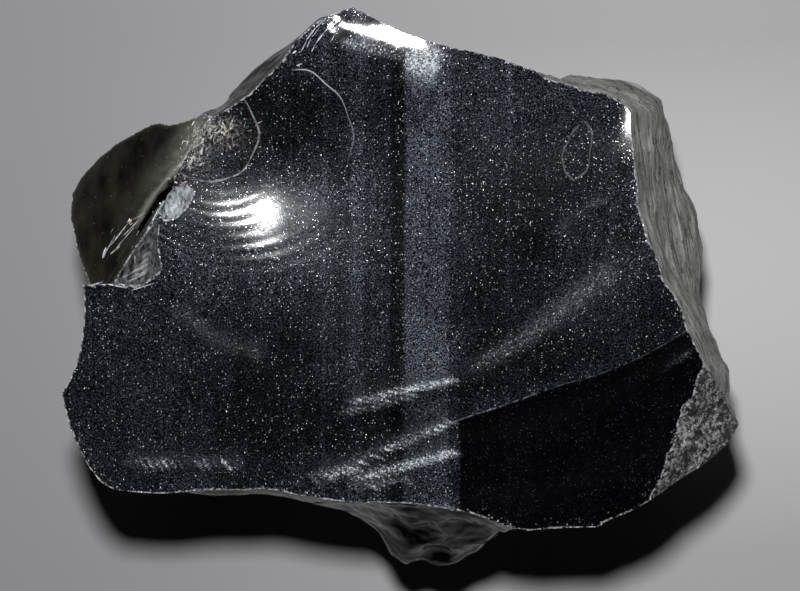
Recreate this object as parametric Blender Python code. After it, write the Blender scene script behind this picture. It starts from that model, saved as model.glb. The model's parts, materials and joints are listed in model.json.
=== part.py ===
"""A hand-sized chunk of obsidian, made the way the stone itself broke.

It starts as a plain block standing on its flat base. Each fracture is a warped sheet,
thickened outwards into a cutter and subtracted: the large smooth face on top with its
ripples, the sloping shoulder at its left, the flanks round the rim, and the scars under them.
Design lengths are in millimetres. X runs along the longest side and Z points up.
"""

import math

import bmesh
import bpy
from mathutils import Matrix, Vector, geometry, noise

MM = 0.001

# Block that the chunk is broken from.
BLOCK = (112.0, 98.0, 62.0)

# Top face: where the blow landed, how long the outer ripple rings draw out along +X, and the
# ring sizes between which they turn from round to egg-shaped.
STRIKE = (-26.5, 24.4)
FACE_Z = 44.2
RING_STRETCH = 0.52
RINGS_TURN = (12.0, 34.0)
RINGS_END = 70.0
FACE_SPOKES = 56

# Shape of the top face: how fast it curves up along Y, to the right and to the left, its round
# hollows, the swell and the lip along its top edge, the upturned edge beside them, and the
# broad ripples.
FACE_DISH = (0.00035, 0.0012, 0.0007)
BULB_HOLLOW = dict(at=(-18.4, 18.5), half=(9.4, 8.5), depth=1.15)
CORNER_HOLLOW = dict(at=(30.9, 28.0), half=(4.0, 4.0), depth=0.45)
TOP_SWELL = dict(slant=0.2, swell_from=20.0, swell=0.0035, lip_from=31.6, lip=0.016)
RIGHT_UPTURN = dict(slant=0.25, start=23.0, rise=0.0025)
BROAD_RIPPLES = dict(apart=7.0, crest=34.5, height=0.10, calm=0.25)

# Shoulder at the left: its crest, the way it faces, where it ends, half its length and half its
# width with its middle's distance from that end, the way its width runs, how fast it rounds over
# outside and inside the crest, and the height and size of its lumps.
SHOULDER_CREST = (-36.5, 9.8, 45.3)
SHOULDER_FACES = (-0.50, 0.30, 0.81)
SHOULDER_END = (-42.5, 0.6)
SHOULDER_SPAN = (26.0, 22.0, 16.0)
SHOULDER_AWAY = (-1.0, -0.04)
SHOULDER_ROUND = (0.010, 0.012)
SHOULDER_LUMPS = (0.35, 9)

# What a blow leaves on a flank or a scar: the dent round it and the ripples that spread from it.
FLANK_BLOW = dict(dent=0.7, dent_at=5.0, dent_width=3.5, height=0.22, rises=(6, 14), apart=7.5)
SCAR_BLOW = dict(dent=0.5, dent_at=5.0, dent_width=4.0, height=0.20, rises=(6, 14), apart=7.0)
SCAR_BLOW_AT = (0.0, 16.0)

WARP = (0.5, 14.5)  # slow warp of every broken surface: height, size
SKIN = dict(glass=0.0, cortex=0.35, rough=0.3)  # height of the lumps of each finish
SKIN_LUMPS = 3.6
CRAG_DEPTH = 2.2  # how much the crags add
CRAG = dict(top=0.35, broad=5.0, fine=2.2, fine_share=0.3)  # their level and their two sizes
UNDERCUT = 0.3  # how fast a flank draws in below its lower curve
BACK_OFF = 70.0  # how far behind its sheet a cutter's flat back lies
SEED = Vector((3.7, 1.9, 8.3))

# How close the lines of the sheets lie: along a flank, its count of lines down, the rings and
# the spokes of a scar, and the two counts of the shoulder.
FLANK_STEP = 3.2
FLANK_LINES = 18
SCAR_STEP = 3.5
SCAR_SPOKES = 40
SHOULDER_LINES = (22, 18)

# Flanks. Each is a sheet through an upper curve at height "top" and a lower one at "low",
# hollowed between them, with ripples that spread from "blow", a share of the way along. Where
# it has "crags", they grow between two places along X. The ends of a curve run on past the
# flank's own corners, into the open.
FLANKS = {
    "left_hollow": dict(
        top=45.0, low=14.0, hollow=1.6, blow=0.45, finish="glass",
        upper=[(-54, 24), (-52.3, 13), (-50.7, 7.5), (-48.3, 3.4), (-46.2, 0.2), (-46.0, -4.0), (-46.5, -8.5),
               (-47.6, -12.3), (-49.3, -15.4), (-54, -21)],
        lower=[(-50.5, 24), (-49.6, 14), (-47.0, 8), (-43.5, 3), (-40.0, -1.0), (-38.5, -5), (-39, -10),
               (-41, -15), (-44, -20), (-49, -28)],
    ),
    "left_low": dict(
        top=45.0, low=14.0, hollow=1.2, blow=0.5, finish="glass",
        upper=[(-51.5, -8), (-49.3, -15.5), (-48.4, -19.4), (-47.1, -22.6), (-45.6, -25.7), (-44.3, -27.6),
               (-40, -34)],
        lower=[(-44, -2), (-43, -9), (-41, -15), (-38.5, -20), (-35.5, -24.5), (-32, -28.5), (-25, -35)],
    ),
    "corner_low": dict(
        top=45.0, low=14.0, hollow=0.6, blow=0.4, finish="glass",
        upper=[(-50, -20.5), (-44.4, -27.6), (-41.3, -29.6), (-37.4, -30.6), (-30, -36)],
        lower=[(-42, -17), (-37.5, -24), (-34, -29.5), (-28, -35), (-20, -41)],
    ),
    "front": dict(
        top=45.0, low=28.0, hollow=0.5, blow=0.25, finish="glass", crags=(-5.0, 1.0),
        upper=[(-50, -28.5), (-36.4, -30.0), (-28.8, -29.5), (-23.9, -29.5), (-19.3, -29.4), (-14.8, -30.3),
               (-7.8, -31.2), (0, -31.3), (4.2, -31.7), (9.8, -32.8), (15.2, -34.8), (18.3, -35.5),
               (26, -38), (34, -40)],
        lower=[(-50, -31.8), (-36.2, -31.7), (-29, -32.6), (-23.5, -32.1), (-18.1, -32.5), (-13.5, -33.7),
               (-8.6, -34.4), (-3.6, -38.3), (-0.4, -42.0), (6.9, -42.1), (12.0, -40.0), (17.5, -37.2),
               (26, -37.6), (36, -40)],
    ),
    "front_right": dict(
        top=44.5, low=20.0, hollow=1.2, blow=0.6, finish="glass",
        upper=[(3, -38), (11.6, -36.3), (18.2, -35.5), (22.5, -35), (26.6, -34.7), (33, -34.4)],
        lower=[(-2, -50), (9, -46), (16.5, -38), (22, -34), (28, -31.5), (36, -30)],
    ),
    "corner_right": dict(
        top=44.5, low=14.0, hollow=1.6, blow=0.4, finish="glass",
        upper=[(23, -38.4), (29.1, -33.9), (32.7, -32.2), (36, -30.3), (39.5, -28.7), (47, -25)],
        lower=[(19, -33), (26, -28.5), (30.5, -26.5), (35, -25), (39.5, -23.5), (48, -19)],
    ),
    "tip_under": dict(
        top=40.0, low=12.0, hollow=1.0, blow=0.5, finish="glass",
        upper=[(33, -33.6), (39.4, -29.8), (44.0, -26.2), (48.2, -23.0), (50.2, -20.6), (56, -14)],
        lower=[(29, -27), (35, -23.5), (39.5, -20), (43, -16.5), (45.5, -13.5), (51, -8)],
    ),
    "cortex": dict(
        top=45.5, low=25.0, hollow=-0.6, blow=0.5, finish="cortex",
        upper=[(32.5, 34), (33.6, 25.6), (34.1, 20.3), (34.6, 14.2), (35.9, 8), (38, 2.3), (40.4, -2.6),
               (42.5, -7.3), (44.9, -13), (48.5, -21)],
        lower=[(39, 35), (42, 25.5), (42.7, 19.4), (44.5, 13.8), (46.0, 7.0), (46.2, -1.4), (47.8, -7.2),
               (50.2, -12.8), (51.5, -18.6), (54.5, -25)],
    ),
    "cortex_top": dict(
        top=45.5, low=32.0, hollow=-0.3, blow=0.5, finish="cortex",
        upper=[(12, 35), (21.5, 30.9), (25.2, 29.6), (29.9, 28.3), (32.3, 27.2), (34.2, 24.9), (38, 19)],
        lower=[(12, 38), (22.2, 32.8), (25.8, 32.5), (31, 31.9), (34.4, 31.2), (37.4, 29.3), (41.2, 26),
               (46, 18)],
    ),
    "back_right": dict(
        top=45.5, low=12.0, hollow=1.8, blow=0.5, finish="glass",
        upper=[(-13, 44), (-7.8, 41), (-5.7, 40), (-2.9, 38.4), (1, 36.6), (5, 35.4), (8, 34.5),
               (13.8, 33.2), (19.4, 31.6), (23, 34), (27, 40)],
        lower=[(-16, 32), (-10, 33), (-5.5, 33.5), (-1, 31.5), (4, 29.5), (8, 28.5), (12, 27.5),
               (18, 27), (23, 27.8), (28, 32), (33, 40)],
    ),
    "back_left": dict(
        top=46.5, low=39.5, hollow=0.1, blow=0.6, finish="glass",
        upper=[(-33, 27.5), (-27.6, 24.4), (-22.3, 27.6), (-19.2, 30.8), (-17.3, 33.1), (-15.4, 35.7),
               (-13.3, 37.9), (-11.0, 39.5), (-7.8, 40.75), (-3, 44)],
        lower=[(-34, 30.5), (-27.8, 27.3), (-25.1, 29), (-22.7, 32.1), (-20.1, 34.4), (-17.5, 36.5),
               (-15.3, 38.4), (-12.4, 40.7), (-7.9, 41.9), (-2, 45)],
    ),
    "shoulder_edge": dict(
        top=35.0, low=12.0, hollow=1.4, blow=0.4, finish="glass",
        upper=[(-51.5, 0), (-51.3, 9.9), (-49.5, 16.3), (-46.6, 19.2), (-42.9, 21.4), (-39, 22.7),
               (-35, 23.9), (-31.3, 23.7), (-27, 25), (-23, 28)],
        lower=[(-42, -2), (-41, 5), (-39.5, 10.5), (-36.5, 14), (-33, 16.8), (-29.5, 18.8), (-25.5, 20.5),
               (-21.5, 22), (-17, 24.5), (-13, 28)],
    ),
    "back_under": dict(
        top=39.5, low=12.0, hollow=1.2, blow=0.5, finish="glass",
        upper=[(-35, 31), (-27.8, 27.3), (-22.7, 32.1), (-17.5, 36.5), (-12.4, 40.8), (-7.9, 43.2), (0, 47)],
        lower=[(-28, 16), (-20.5, 20.5), (-16.5, 25), (-12.5, 29), (-8, 32.5), (-2, 36), (8, 41)],
    ),
}

# Round scars on the flanks and round the base: a point on each, the way it faces and the
# radius of its hollow.
SCARS = {
    "spall_left": dict(at=(-40.5, -8, 22), faces=(-0.97, -0.08, -0.22), hollow=34, finish="glass"),
    "spall_front": dict(at=(-21, -26.8, 14), faces=(-0.18, -0.96, -0.22), hollow=36, finish="glass"),
    "spall_front_right": dict(at=(28, -27.4, 24), faces=(0.34, -0.92, -0.20), hollow=34, finish="glass"),
    "spall_back": dict(at=(4, 28.6, 24), faces=(0.24, 0.94, -0.22), hollow=38, finish="glass"),
    "spall_back_left": dict(at=(-30, 19, 18), faces=(-0.62, 0.76, -0.22), hollow=34, finish="glass"),
    "under_west": dict(at=(-30, -6, 10), faces=(-0.72, -0.25, -0.65), hollow=90, finish="glass"),
    "under_south_west": dict(at=(-16, -22.5, 6), faces=(-0.20, -0.60, -0.77), hollow=45, finish="glass"),
    "under_south": dict(at=(8, -27, 13), faces=(0.15, -0.80, -0.58), hollow=60, finish="glass"),
    "under_south_east": dict(at=(28, -17, 7), faces=(0.50, -0.45, -0.74), hollow=120, finish="glass"),
    "under_east": dict(at=(36.5, 0, 12), faces=(0.80, 0.05, -0.60), hollow=70, finish="cortex"),
    "under_north_east": dict(at=(18, 20, 12), faces=(0.35, 0.66, -0.66), hollow=50, finish="glass"),
    "under_north": dict(at=(-10, 20, 7), faces=(-0.15, 0.60, -0.78), hollow=90, finish="glass"),
    "under_north_west": dict(at=(-28, 8, 10), faces=(-0.70, 0.40, -0.60), hollow=60, finish="glass"),
}

# Small flakes knocked off along the crest and round the blow: centre, half sizes, turn about Z.
# The leaf-shaped one is a bowl with an outline of its own; "rim" is how far out on the bowl that
# outline lies, as a share.
CHIPS = {
    "oval": dict(at=(-32.4, 12.7, 45.8), half=(4.1, 2.1, 1.3), turn=45),
    "crest_leaf": dict(
        at=(-37.0, 3.8, 47.2), depth=3.0, rim=0.745,
        outline=[(-35.2, 10.4), (-35.6, 6.5), (-34.8, 2.6), (-37.8, 0.3), (-41.9, 0.9), (-38.4, 6.2)],
    ),
    "blow_left": dict(at=(-29.8, 22.0, 46.0), half=(1.7, 1.1, 1.5), turn=70),
    "blow_right": dict(at=(-27.4, 23.6, 45.7), half=(1.5, 1.0, 1.3), turn=-20),
    "rim_top": dict(at=(-17.0, 34.8, 46.9), half=(2.6, 1.2, 1.3), turn=60),
}

# Rough chamfer that takes the lower right corner off the top face.
CHAMFER = dict(at=(43.2, -21.0, 44.6), faces=(0.62, -0.28, 0.73), hollow=400, finish="rough")


# ---------------------------------------------------------------- small helpers


def smooth_step(low, high, value):
    """0 below low, 1 above high, with a smooth run between."""
    share = min(max((value - low) / (high - low), 0.0), 1.0)
    return share * share * (3.0 - 2.0 * share)


def dip(distance, width):
    """1 at the middle, falling away to 0 over about three widths."""
    return math.exp(-0.5 * (distance / width) ** 2)


def spline(points, share):
    """The point at share 0..1 along a Catmull-Rom curve, even by index."""
    last = len(points) - 1
    place = min(max(share, 0.0), 1.0) * last
    index = min(int(place), last - 1)
    t = place - index
    p1, p2 = points[index], points[index + 1]
    p0 = points[index - 1] if index else p1
    p3 = points[index + 2] if index + 2 <= last else p2
    return Vector(
        0.5 * (2 * b + (c - a) * t + (2 * a - 5 * b + 4 * c - d) * t**2 + (3 * b - a - 3 * c + d) * t**3)
        for a, b, c, d in zip(p0, p1, p2, p3)
    )


def grain(point, size):
    """Smooth noise in -1..1 with features of about the given size in millimetres."""
    return noise.noise(Vector(point) / size + SEED)


# ---------------------------------------------------------------- materials


def material(name, colour, roughness):
    made = bpy.data.materials.new(name)
    made.use_nodes = True
    shader = made.node_tree.nodes["Principled BSDF"]
    shader.inputs["Base Color"].default_value = (*colour, 1.0)
    shader.inputs["Roughness"].default_value = roughness
    shader.inputs["Metallic"].default_value = 0.0
    return made


def obsidian_materials():
    """The finishes by name: black glass, weathered grey skin, and sugary broken stone."""
    return {
        "glass": material("obsidian_glass", (0.012, 0.012, 0.015), 0.08),
        "cortex": material("weathered_skin", (0.16, 0.155, 0.145), 0.75),
        "rough": material("sugary_break", (0.11, 0.11, 0.115), 0.55),
    }


# ---------------------------------------------------------------- cutters


def close_cutter(name, mesh, back_plane, finish, finishes, group):
    """Runs a sheet's edge back to a flat plane, closes it there and returns the cutter."""
    edges = [edge for edge in mesh.edges if edge.is_boundary]
    pulled = bmesh.ops.extrude_edge_only(mesh, edges=edges)["geom"]
    for item in pulled:
        if isinstance(item, bmesh.types.BMVert):
            item.co = back_plane(item.co)
    rim = [item for item in pulled if isinstance(item, bmesh.types.BMEdge)]
    bmesh.ops.contextual_create(mesh, geom=rim)
    return finish_cutter(name, mesh, finish, finishes, group)


def finish_cutter(name, mesh, finish, finishes, group):
    """Scales a closed cutter from millimetres and makes it an object with its finish."""
    bmesh.ops.scale(mesh, vec=(MM, MM, MM), verts=mesh.verts)
    bmesh.ops.recalc_face_normals(mesh, faces=mesh.faces)
    data = bpy.data.meshes.new(name)
    mesh.to_mesh(data)
    mesh.free()
    data.materials.append(finishes[finish])
    cutter = bpy.data.objects.new(name, data)
    cutter.hide_render = True
    cutter.display_type = "WIRE"
    group.objects.link(cutter)
    return cutter


def disc(rings, spokes):
    """A flat disc of concentric rings about the origin, turned from one spoke."""
    mesh = bmesh.new()
    verts = [mesh.verts.new((radius, 0.0, 0.0)) for radius in (0.0, *rings)]
    edges = [mesh.edges.new(pair) for pair in zip(verts, verts[1:])]
    bmesh.ops.spin(
        mesh, geom=verts + edges, cent=(0, 0, 0), axis=(0, 0, 1), angle=math.tau, steps=spokes, use_merge=True
    )
    bmesh.ops.remove_doubles(mesh, verts=mesh.verts, dist=0.001)
    return mesh


# ---------------------------------------------------------------- the top face


def ring_point(ring, angle):
    """Where a ripple ring passes in plan: round near the blow, drawn out along +X further off."""
    stretch = RING_STRETCH * smooth_step(*RINGS_TURN, ring)
    reach = ring / (1.0 - stretch * math.cos(angle))
    return STRIKE[0] + reach * math.cos(angle), STRIKE[1] + reach * math.sin(angle)


def hollow_at(x, y, hollow):
    """Depth of a round hollow at a place."""
    (at_x, at_y), (half_x, half_y) = hollow["at"], hollow["half"]
    return hollow["depth"] * dip(math.hypot((x - at_x) / half_x, (y - at_y) / half_y), 1.0)


def top_swell(x, y):
    """The swell along the top edge of the face and the lip beyond it."""
    along = y + TOP_SWELL["slant"] * x
    rise = TOP_SWELL["swell"] * max(along - TOP_SWELL["swell_from"], 0) ** 2
    rise -= TOP_SWELL["lip"] * max(along - TOP_SWELL["lip_from"], 0) ** 2
    return rise * smooth_step(-20, -10, x) * (1 - smooth_step(5, 14, x))


def face_height(x, y, ring):
    """Height of the top face: a shallow dish with hollows, a lip and ripples."""
    x, y = min(max(x, -54.0), 54.0), min(max(y, -44.0), 44.0)
    up, right, left = FACE_DISH
    z = FACE_Z + up * (y + 32) ** 2 + right * max(x + 12, 0) ** 2 + left * min(x + 8, 0) ** 2
    z += top_swell(x, y) - hollow_at(x, y, BULB_HOLLOW) - hollow_at(x, y, CORNER_HOLLOW)
    upturn = max(y + RIGHT_UPTURN["slant"] * x - RIGHT_UPTURN["start"], 0)
    z += RIGHT_UPTURN["rise"] * upturn**2 * smooth_step(4, 10, x) * (1 - smooth_step(27, 33, x))
    calm = BROAD_RIPPLES["calm"] + (1 - BROAD_RIPPLES["calm"]) * smooth_step(-20, 0, x)
    wave = math.cos(math.tau * (ring - BROAD_RIPPLES["crest"]) / BROAD_RIPPLES["apart"])
    z += BROAD_RIPPLES["height"] * calm * smooth_step(26, 31, ring) * wave
    return z + 0.20 * grain((x, y, 3), 24) + 0.05 * grain((x, y, 7), 8)


def face_rings():
    """Sizes of the rings: close where the ripples are close, wider further out."""
    rings = [1.5, 3.2, 4.8, 6.1, 7.0, 8.2]
    while rings[-1] < 24.0:
        rings.append(rings[-1] + 1.4)
    while rings[-1] < RINGS_END:
        rings.append(rings[-1] + 1.8)
    return rings


def face_cutter(finishes, group):
    mesh = disc(face_rings(), FACE_SPOKES)
    for vert in mesh.verts:
        ring = vert.co.length
        x, y = ring_point(ring, math.atan2(vert.co.y, vert.co.x))
        vert.co = (x, y, face_height(x, y, ring))
    return close_cutter(
        "cut_top_face", mesh, lambda co: (co.x, co.y, FACE_Z + BACK_OFF), "glass", finishes, group
    )


# ---------------------------------------------------------------- flanks


def blow_relief(reach, blow):
    """Height of a sheet at some reach from the blow: a dent, then ripples."""
    ripples = blow["height"] * smooth_step(*blow["rises"], reach) * math.cos(math.tau * reach / blow["apart"])
    return ripples - blow["dent"] * dip(reach - blow["dent_at"], blow["dent_width"])


def crag(point):
    """Sharp irregular ridges with hollows between them."""
    ridges = abs(grain(point, CRAG["broad"])) + CRAG["fine_share"] * abs(grain(point, CRAG["fine"]))
    return CRAG["top"] - ridges


def flank_cutter(name, flank, finishes, group):
    """A sheet through a flank's two curves, carried up past the rim and down past the base."""
    upper, lower = flank["upper"], flank["lower"]
    high, deep = BLOCK[2] + 4.0, -4.0
    chord = Vector(upper[-1]) - Vector(upper[0])
    outward = Vector((chord.y, -chord.x)).normalized()
    if outward.dot(spline(upper, 0.5)) < 0:
        outward.negate()
    blow = spline(upper, flank["blow"])
    mesh = bmesh.new()
    bmesh.ops.create_grid(
        mesh, x_segments=max(int(chord.length / FLANK_STEP), 8), y_segments=FLANK_LINES, size=1.0
    )
    for vert in mesh.verts:
        share = 0.5 * (vert.co.x + 1.0)
        z = deep + (high - deep) * 0.5 * (vert.co.y + 1.0)
        depth = (flank["top"] - z) / (flank["top"] - flank["low"])
        a, b = spline(upper, share), spline(lower, share)
        plan = a + (b - a) * min(max(depth, -0.3), 1.0)
        plan -= outward * UNDERCUT * max(flank["low"] - z, 0.0)
        reach = math.hypot((plan - blow).length, flank["top"] - z)
        out = -flank["hollow"] * max(4.0 * depth * (1.0 - depth), 0.0)
        out += blow_relief(reach, FLANK_BLOW) + WARP[0] * grain((*plan, z), WARP[1])
        if "crags" in flank:
            out += CRAG_DEPTH * smooth_step(*flank["crags"], plan.x) * crag((*plan, z))
        out *= smooth_step(0.0, 0.3, depth)
        out += SKIN[flank["finish"]] * grain((*plan, z), SKIN_LUMPS)
        vert.co = (*(plan + outward * out), z)
    flat = outward * BACK_OFF

    def back(co):
        run = co.to_2d() - outward * co.to_2d().dot(outward)
        return (*(run + flat), co.z)

    return close_cutter(f"cut_{name}", mesh, back, flank["finish"], finishes, group)


# ---------------------------------------------------------------- scars


def scar_cutter(name, scar, finishes, group, radius=62.0):
    """A shallow round hollow facing its own way, with ripples spreading from its upper edge."""
    facing = Vector(scar["faces"]).normalized()
    across = facing.cross(Vector((0, 0, 1))).normalized()
    up = across.cross(facing)
    place = Matrix((across, up, facing)).transposed()
    centre = Vector(scar["at"])
    mesh = disc([SCAR_STEP * (step + 1) for step in range(int(radius / SCAR_STEP))], SCAR_SPOKES)
    for vert in mesh.verts:
        flat = vert.co.to_2d()
        height = flat.length_squared / (2.0 * scar["hollow"])
        height += blow_relief((flat - Vector(SCAR_BLOW_AT)).length, SCAR_BLOW)
        height += WARP[0] * grain((*flat, scar["hollow"]), WARP[1])
        height += SKIN[scar["finish"]] * grain((*flat, 5), SKIN_LUMPS)
        vert.co = centre + place @ Vector((flat.x, flat.y, height))

    def back(co):
        local = place.transposed() @ (co - centre)
        return centre + place @ Vector((local.x, local.y, BACK_OFF))

    return close_cutter(f"cut_{name}", mesh, back, scar["finish"], finishes, group)


def outline_reach(chip, angle):
    """How far a flake's outline lies from its middle in one direction."""
    middle = Vector(chip["at"][:2])
    far = middle + 100.0 * Vector((math.cos(angle), math.sin(angle)))
    corners = [Vector(corner) for corner in chip["outline"]]
    crossings = (
        geometry.intersect_line_line_2d(middle, far, start, end)
        for start, end in zip(corners, corners[1:] + corners[:1])
    )
    return max((crossing - middle).length for crossing in crossings if crossing)


def leaf_place(chip, unit):
    """Where a point of the unit ball lies on the bowl that knocks a leaf-shaped flake off."""
    out = unit.to_2d()
    reach = outline_reach(chip, math.atan2(out.y, out.x)) / chip["rim"]
    plan = Vector(chip["at"][:2]) + out * reach
    return Vector((plan.x, plan.y, chip["at"][2] + chip["depth"] * unit.z))


def chip_cutter(name, chip, finishes, group):
    """A small bite, egg-shaped or with an outline of its own."""
    mesh = bmesh.new()
    bmesh.ops.create_icosphere(mesh, subdivisions=2, radius=1.0)
    if "outline" in chip:
        for vert in mesh.verts:
            vert.co = leaf_place(chip, vert.co)
    else:
        spin = Matrix.Rotation(math.radians(chip["turn"]), 4, "Z")
        mesh.transform(Matrix.Translation(chip["at"]) @ spin @ Matrix.Diagonal((*chip["half"], 1.0)))
    return finish_cutter(f"cut_chip_{name}", mesh, "glass", finishes, group)


def shoulder_cutter(finishes, group):
    """The sloping shoulder: a rounded sheet that stops at a small step above the left hollow."""
    facing = Vector(SHOULDER_FACES).normalized()
    away = facing.xy.normalized()
    crest = Vector(SHOULDER_CREST)
    along = Vector((away.y, -away.x))
    length, width, middle = SHOULDER_SPAN
    outer, inner = SHOULDER_ROUND
    lump, lump_size = SHOULDER_LUMPS
    mesh = bmesh.new()
    bmesh.ops.create_grid(mesh, x_segments=SHOULDER_LINES[0], y_segments=SHOULDER_LINES[1], size=1.0)
    for vert in mesh.verts:
        plan = Vector(SHOULDER_END) + along * length * (vert.co.x + 1.0)
        plan += Vector(SHOULDER_AWAY) * (middle + width * vert.co.y)
        out = (plan - crest.xy).dot(away)
        z = crest.z - facing.xy.length / facing.z * out
        z -= outer * max(out, 0) ** 2 - inner * min(out, 0) ** 2
        z += lump * grain((plan.x, plan.y, 2), lump_size)
        vert.co = (plan.x, plan.y, z)
    return close_cutter(
        "cut_shoulder", mesh, lambda co: (co.x, co.y, FACE_Z + BACK_OFF), "glass", finishes, group
    )


# ---------------------------------------------------------------- the stone


def blank(finishes, group):
    """The block before it is broken, standing on z = 0."""
    mesh = bmesh.new()
    bmesh.ops.create_cube(mesh, size=1.0)
    bmesh.ops.scale(mesh, vec=[side * MM for side in BLOCK], verts=mesh.verts)
    bmesh.ops.translate(mesh, vec=(0, 0, BLOCK[2] / 2 * MM), verts=mesh.verts)
    data = bpy.data.meshes.new("obsidian_chunk")
    mesh.to_mesh(data)
    mesh.free()
    data.materials.append(finishes["glass"])
    stone = bpy.data.objects.new("obsidian_chunk", data)
    group.objects.link(stone)
    return stone


def cut(stone, cutter):
    """Takes the cutter's volume off the stone; the new surface keeps the cutter's finish."""
    step = stone.modifiers.new(cutter.name, "BOOLEAN")
    step.operation = "DIFFERENCE"
    step.solver = "MANIFOLD"  # EXACT loses the whole stone at one of the lower scars
    step.material_mode = "TRANSFER"
    step.object = cutter


def bake(stone):
    """Applies the cuts and lets the loose waste between two fractures fall away."""
    bpy.context.view_layer.update()
    shaped = stone.evaluated_get(bpy.context.evaluated_depsgraph_get())
    data = bpy.data.meshes.new_from_object(shaped)
    stone.modifiers.clear()
    stone.data = data
    mesh = bmesh.new()
    mesh.from_mesh(data)
    left = set(mesh.verts)
    bodies = []
    while left:
        body = {left.pop()}
        front = list(body)
        while front:
            linked = {edge.other_vert(vert) for vert in front for edge in vert.link_edges}
            front = list(linked - body)
            body |= linked
        left -= body
        bodies.append(body)
    core = max(bodies, key=len)
    bmesh.ops.delete(mesh, geom=[vert for vert in mesh.verts if vert not in core], context="VERTS")
    mesh.to_mesh(data)
    mesh.free()


def stand_on_origin(stone):
    """Moves the stone so that the middle of its box is over the origin and its base is at 0."""
    places = [vert.co for vert in stone.data.vertices]
    low = Vector([min(place[axis] for place in places) for axis in range(3)])
    high = Vector([max(place[axis] for place in places) for axis in range(3)])
    stone.data.transform(Matrix.Translation(-Vector(((low.x + high.x) / 2, (low.y + high.y) / 2, low.z))))


def main():
    for old in list(bpy.data.objects):
        bpy.data.objects.remove(old, do_unlink=True)
    group = bpy.data.collections.new("obsidian_chunk")
    cutters = bpy.data.collections.new("cutters")
    bpy.context.scene.collection.children.link(group)
    bpy.context.scene.collection.children.link(cutters)

    finishes = obsidian_materials()
    stone = blank(finishes, group)
    cut(stone, face_cutter(finishes, cutters))
    cut(stone, shoulder_cutter(finishes, cutters))
    for name, flank in FLANKS.items():
        cut(stone, flank_cutter(name, flank, finishes, cutters))
    for name, scar in SCARS.items():
        cut(stone, scar_cutter(name, scar, finishes, cutters))
    cut(stone, scar_cutter("chamfer", CHAMFER, finishes, cutters, radius=24.0))
    for name, chip in CHIPS.items():
        cut(stone, chip_cutter(name, chip, finishes, cutters))
    bake(stone)
    stand_on_origin(stone)


main()
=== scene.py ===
"""The looks of an obsidian chunk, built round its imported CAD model.

The stone is broken again here from the same list of fractures as the CAD solid, on sheets
several times finer, so that its ripples, lips and chipped edges are real surface. Every
surface keeps the fracture it came from, and with it the true normal of that sheet.
Design lengths are in millimetres, in the stone's own frame: X along it, Z up.
"""

import json
import math
import random

import bmesh
import bpy
import numpy as np
from mathutils import Matrix, Vector, geometry, kdtree, noise

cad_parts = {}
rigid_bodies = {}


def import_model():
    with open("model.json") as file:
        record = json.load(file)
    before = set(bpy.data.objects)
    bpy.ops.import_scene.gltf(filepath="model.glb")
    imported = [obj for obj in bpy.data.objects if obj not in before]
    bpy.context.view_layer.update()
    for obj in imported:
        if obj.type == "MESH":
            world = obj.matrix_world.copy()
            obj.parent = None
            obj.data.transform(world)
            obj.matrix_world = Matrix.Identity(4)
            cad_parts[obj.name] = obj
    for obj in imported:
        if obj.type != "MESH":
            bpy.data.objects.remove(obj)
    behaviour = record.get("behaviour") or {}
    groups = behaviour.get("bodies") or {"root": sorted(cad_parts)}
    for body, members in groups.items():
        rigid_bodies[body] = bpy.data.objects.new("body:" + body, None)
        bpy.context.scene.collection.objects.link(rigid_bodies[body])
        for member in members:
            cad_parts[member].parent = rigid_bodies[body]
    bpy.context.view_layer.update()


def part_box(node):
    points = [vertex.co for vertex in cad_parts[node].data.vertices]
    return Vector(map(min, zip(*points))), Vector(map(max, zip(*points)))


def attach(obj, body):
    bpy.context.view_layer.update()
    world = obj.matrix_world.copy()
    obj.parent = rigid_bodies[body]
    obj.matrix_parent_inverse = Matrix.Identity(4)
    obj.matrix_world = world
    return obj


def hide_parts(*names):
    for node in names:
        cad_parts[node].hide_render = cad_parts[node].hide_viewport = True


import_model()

MM = 0.001
NODE = "obsidian_chunk"

# Block that the chunk is broken from.
BLOCK = (112.0, 98.0, 62.0)

# Top face: where the blow landed, how long the outer ripple rings draw out along +X, and the
# ring sizes between which they turn from round to egg-shaped.
STRIKE = (-26.5, 24.4)
FACE_Z = 44.2
RING_STRETCH = 0.52
RINGS_TURN = (12.0, 34.0)
RINGS_END = 70.0

# Shape of the top face: how fast it curves up along Y, to the right and to the left, its round
# hollows, the swell and the lip along its top edge, the upturned edge beside them, and the
# broad ripples.
FACE_DISH = (0.00035, 0.0012, 0.0007)
BULB_HOLLOW = dict(at=(-16.8, 18.4), half=(10.3, 8.5), depth=1.15)
CORNER_HOLLOW = dict(at=(30.9, 28.0), half=(4.0, 4.0), depth=0.45)
TOP_SWELL = dict(slant=0.2, swell_from=20.0, swell=0.0035, lip_from=31.6, lip=0.016)
RIGHT_UPTURN = dict(slant=0.25, start=23.0, rise=0.0025)
BROAD_RIPPLES = dict(apart=7.0, crest=34.5, height=0.10, calm=0.25)

# Shoulder at the left: its crest, the way it faces, where it ends, half its length and half its
# width with its middle's distance from that end, and the way its width runs.
SHOULDER_CREST = (-36.5, 9.8, 45.3)
SHOULDER_FACES = (-0.50, 0.30, 0.81)
SHOULDER_END = (-42.5, 0.6)
SHOULDER_SPAN = (26.0, 22.0, 16.0)
SHOULDER_AWAY = (-1.0, -0.04)

# What a blow leaves on a flank and on a scar: the depth and width of the dent, then the height
# and distance of the wide ripples and of the close ones; and where the blow on a scar lies.
FLANK_BLOW = (0.7, 3.5, 0.22, 7.5, 0.035, 2.1)
SCAR_BLOW = (0.5, 4.0, 0.2, 7.0, 0.03, 2.0)
SCAR_BLOW_AT = (0.0, 16.0)

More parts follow.
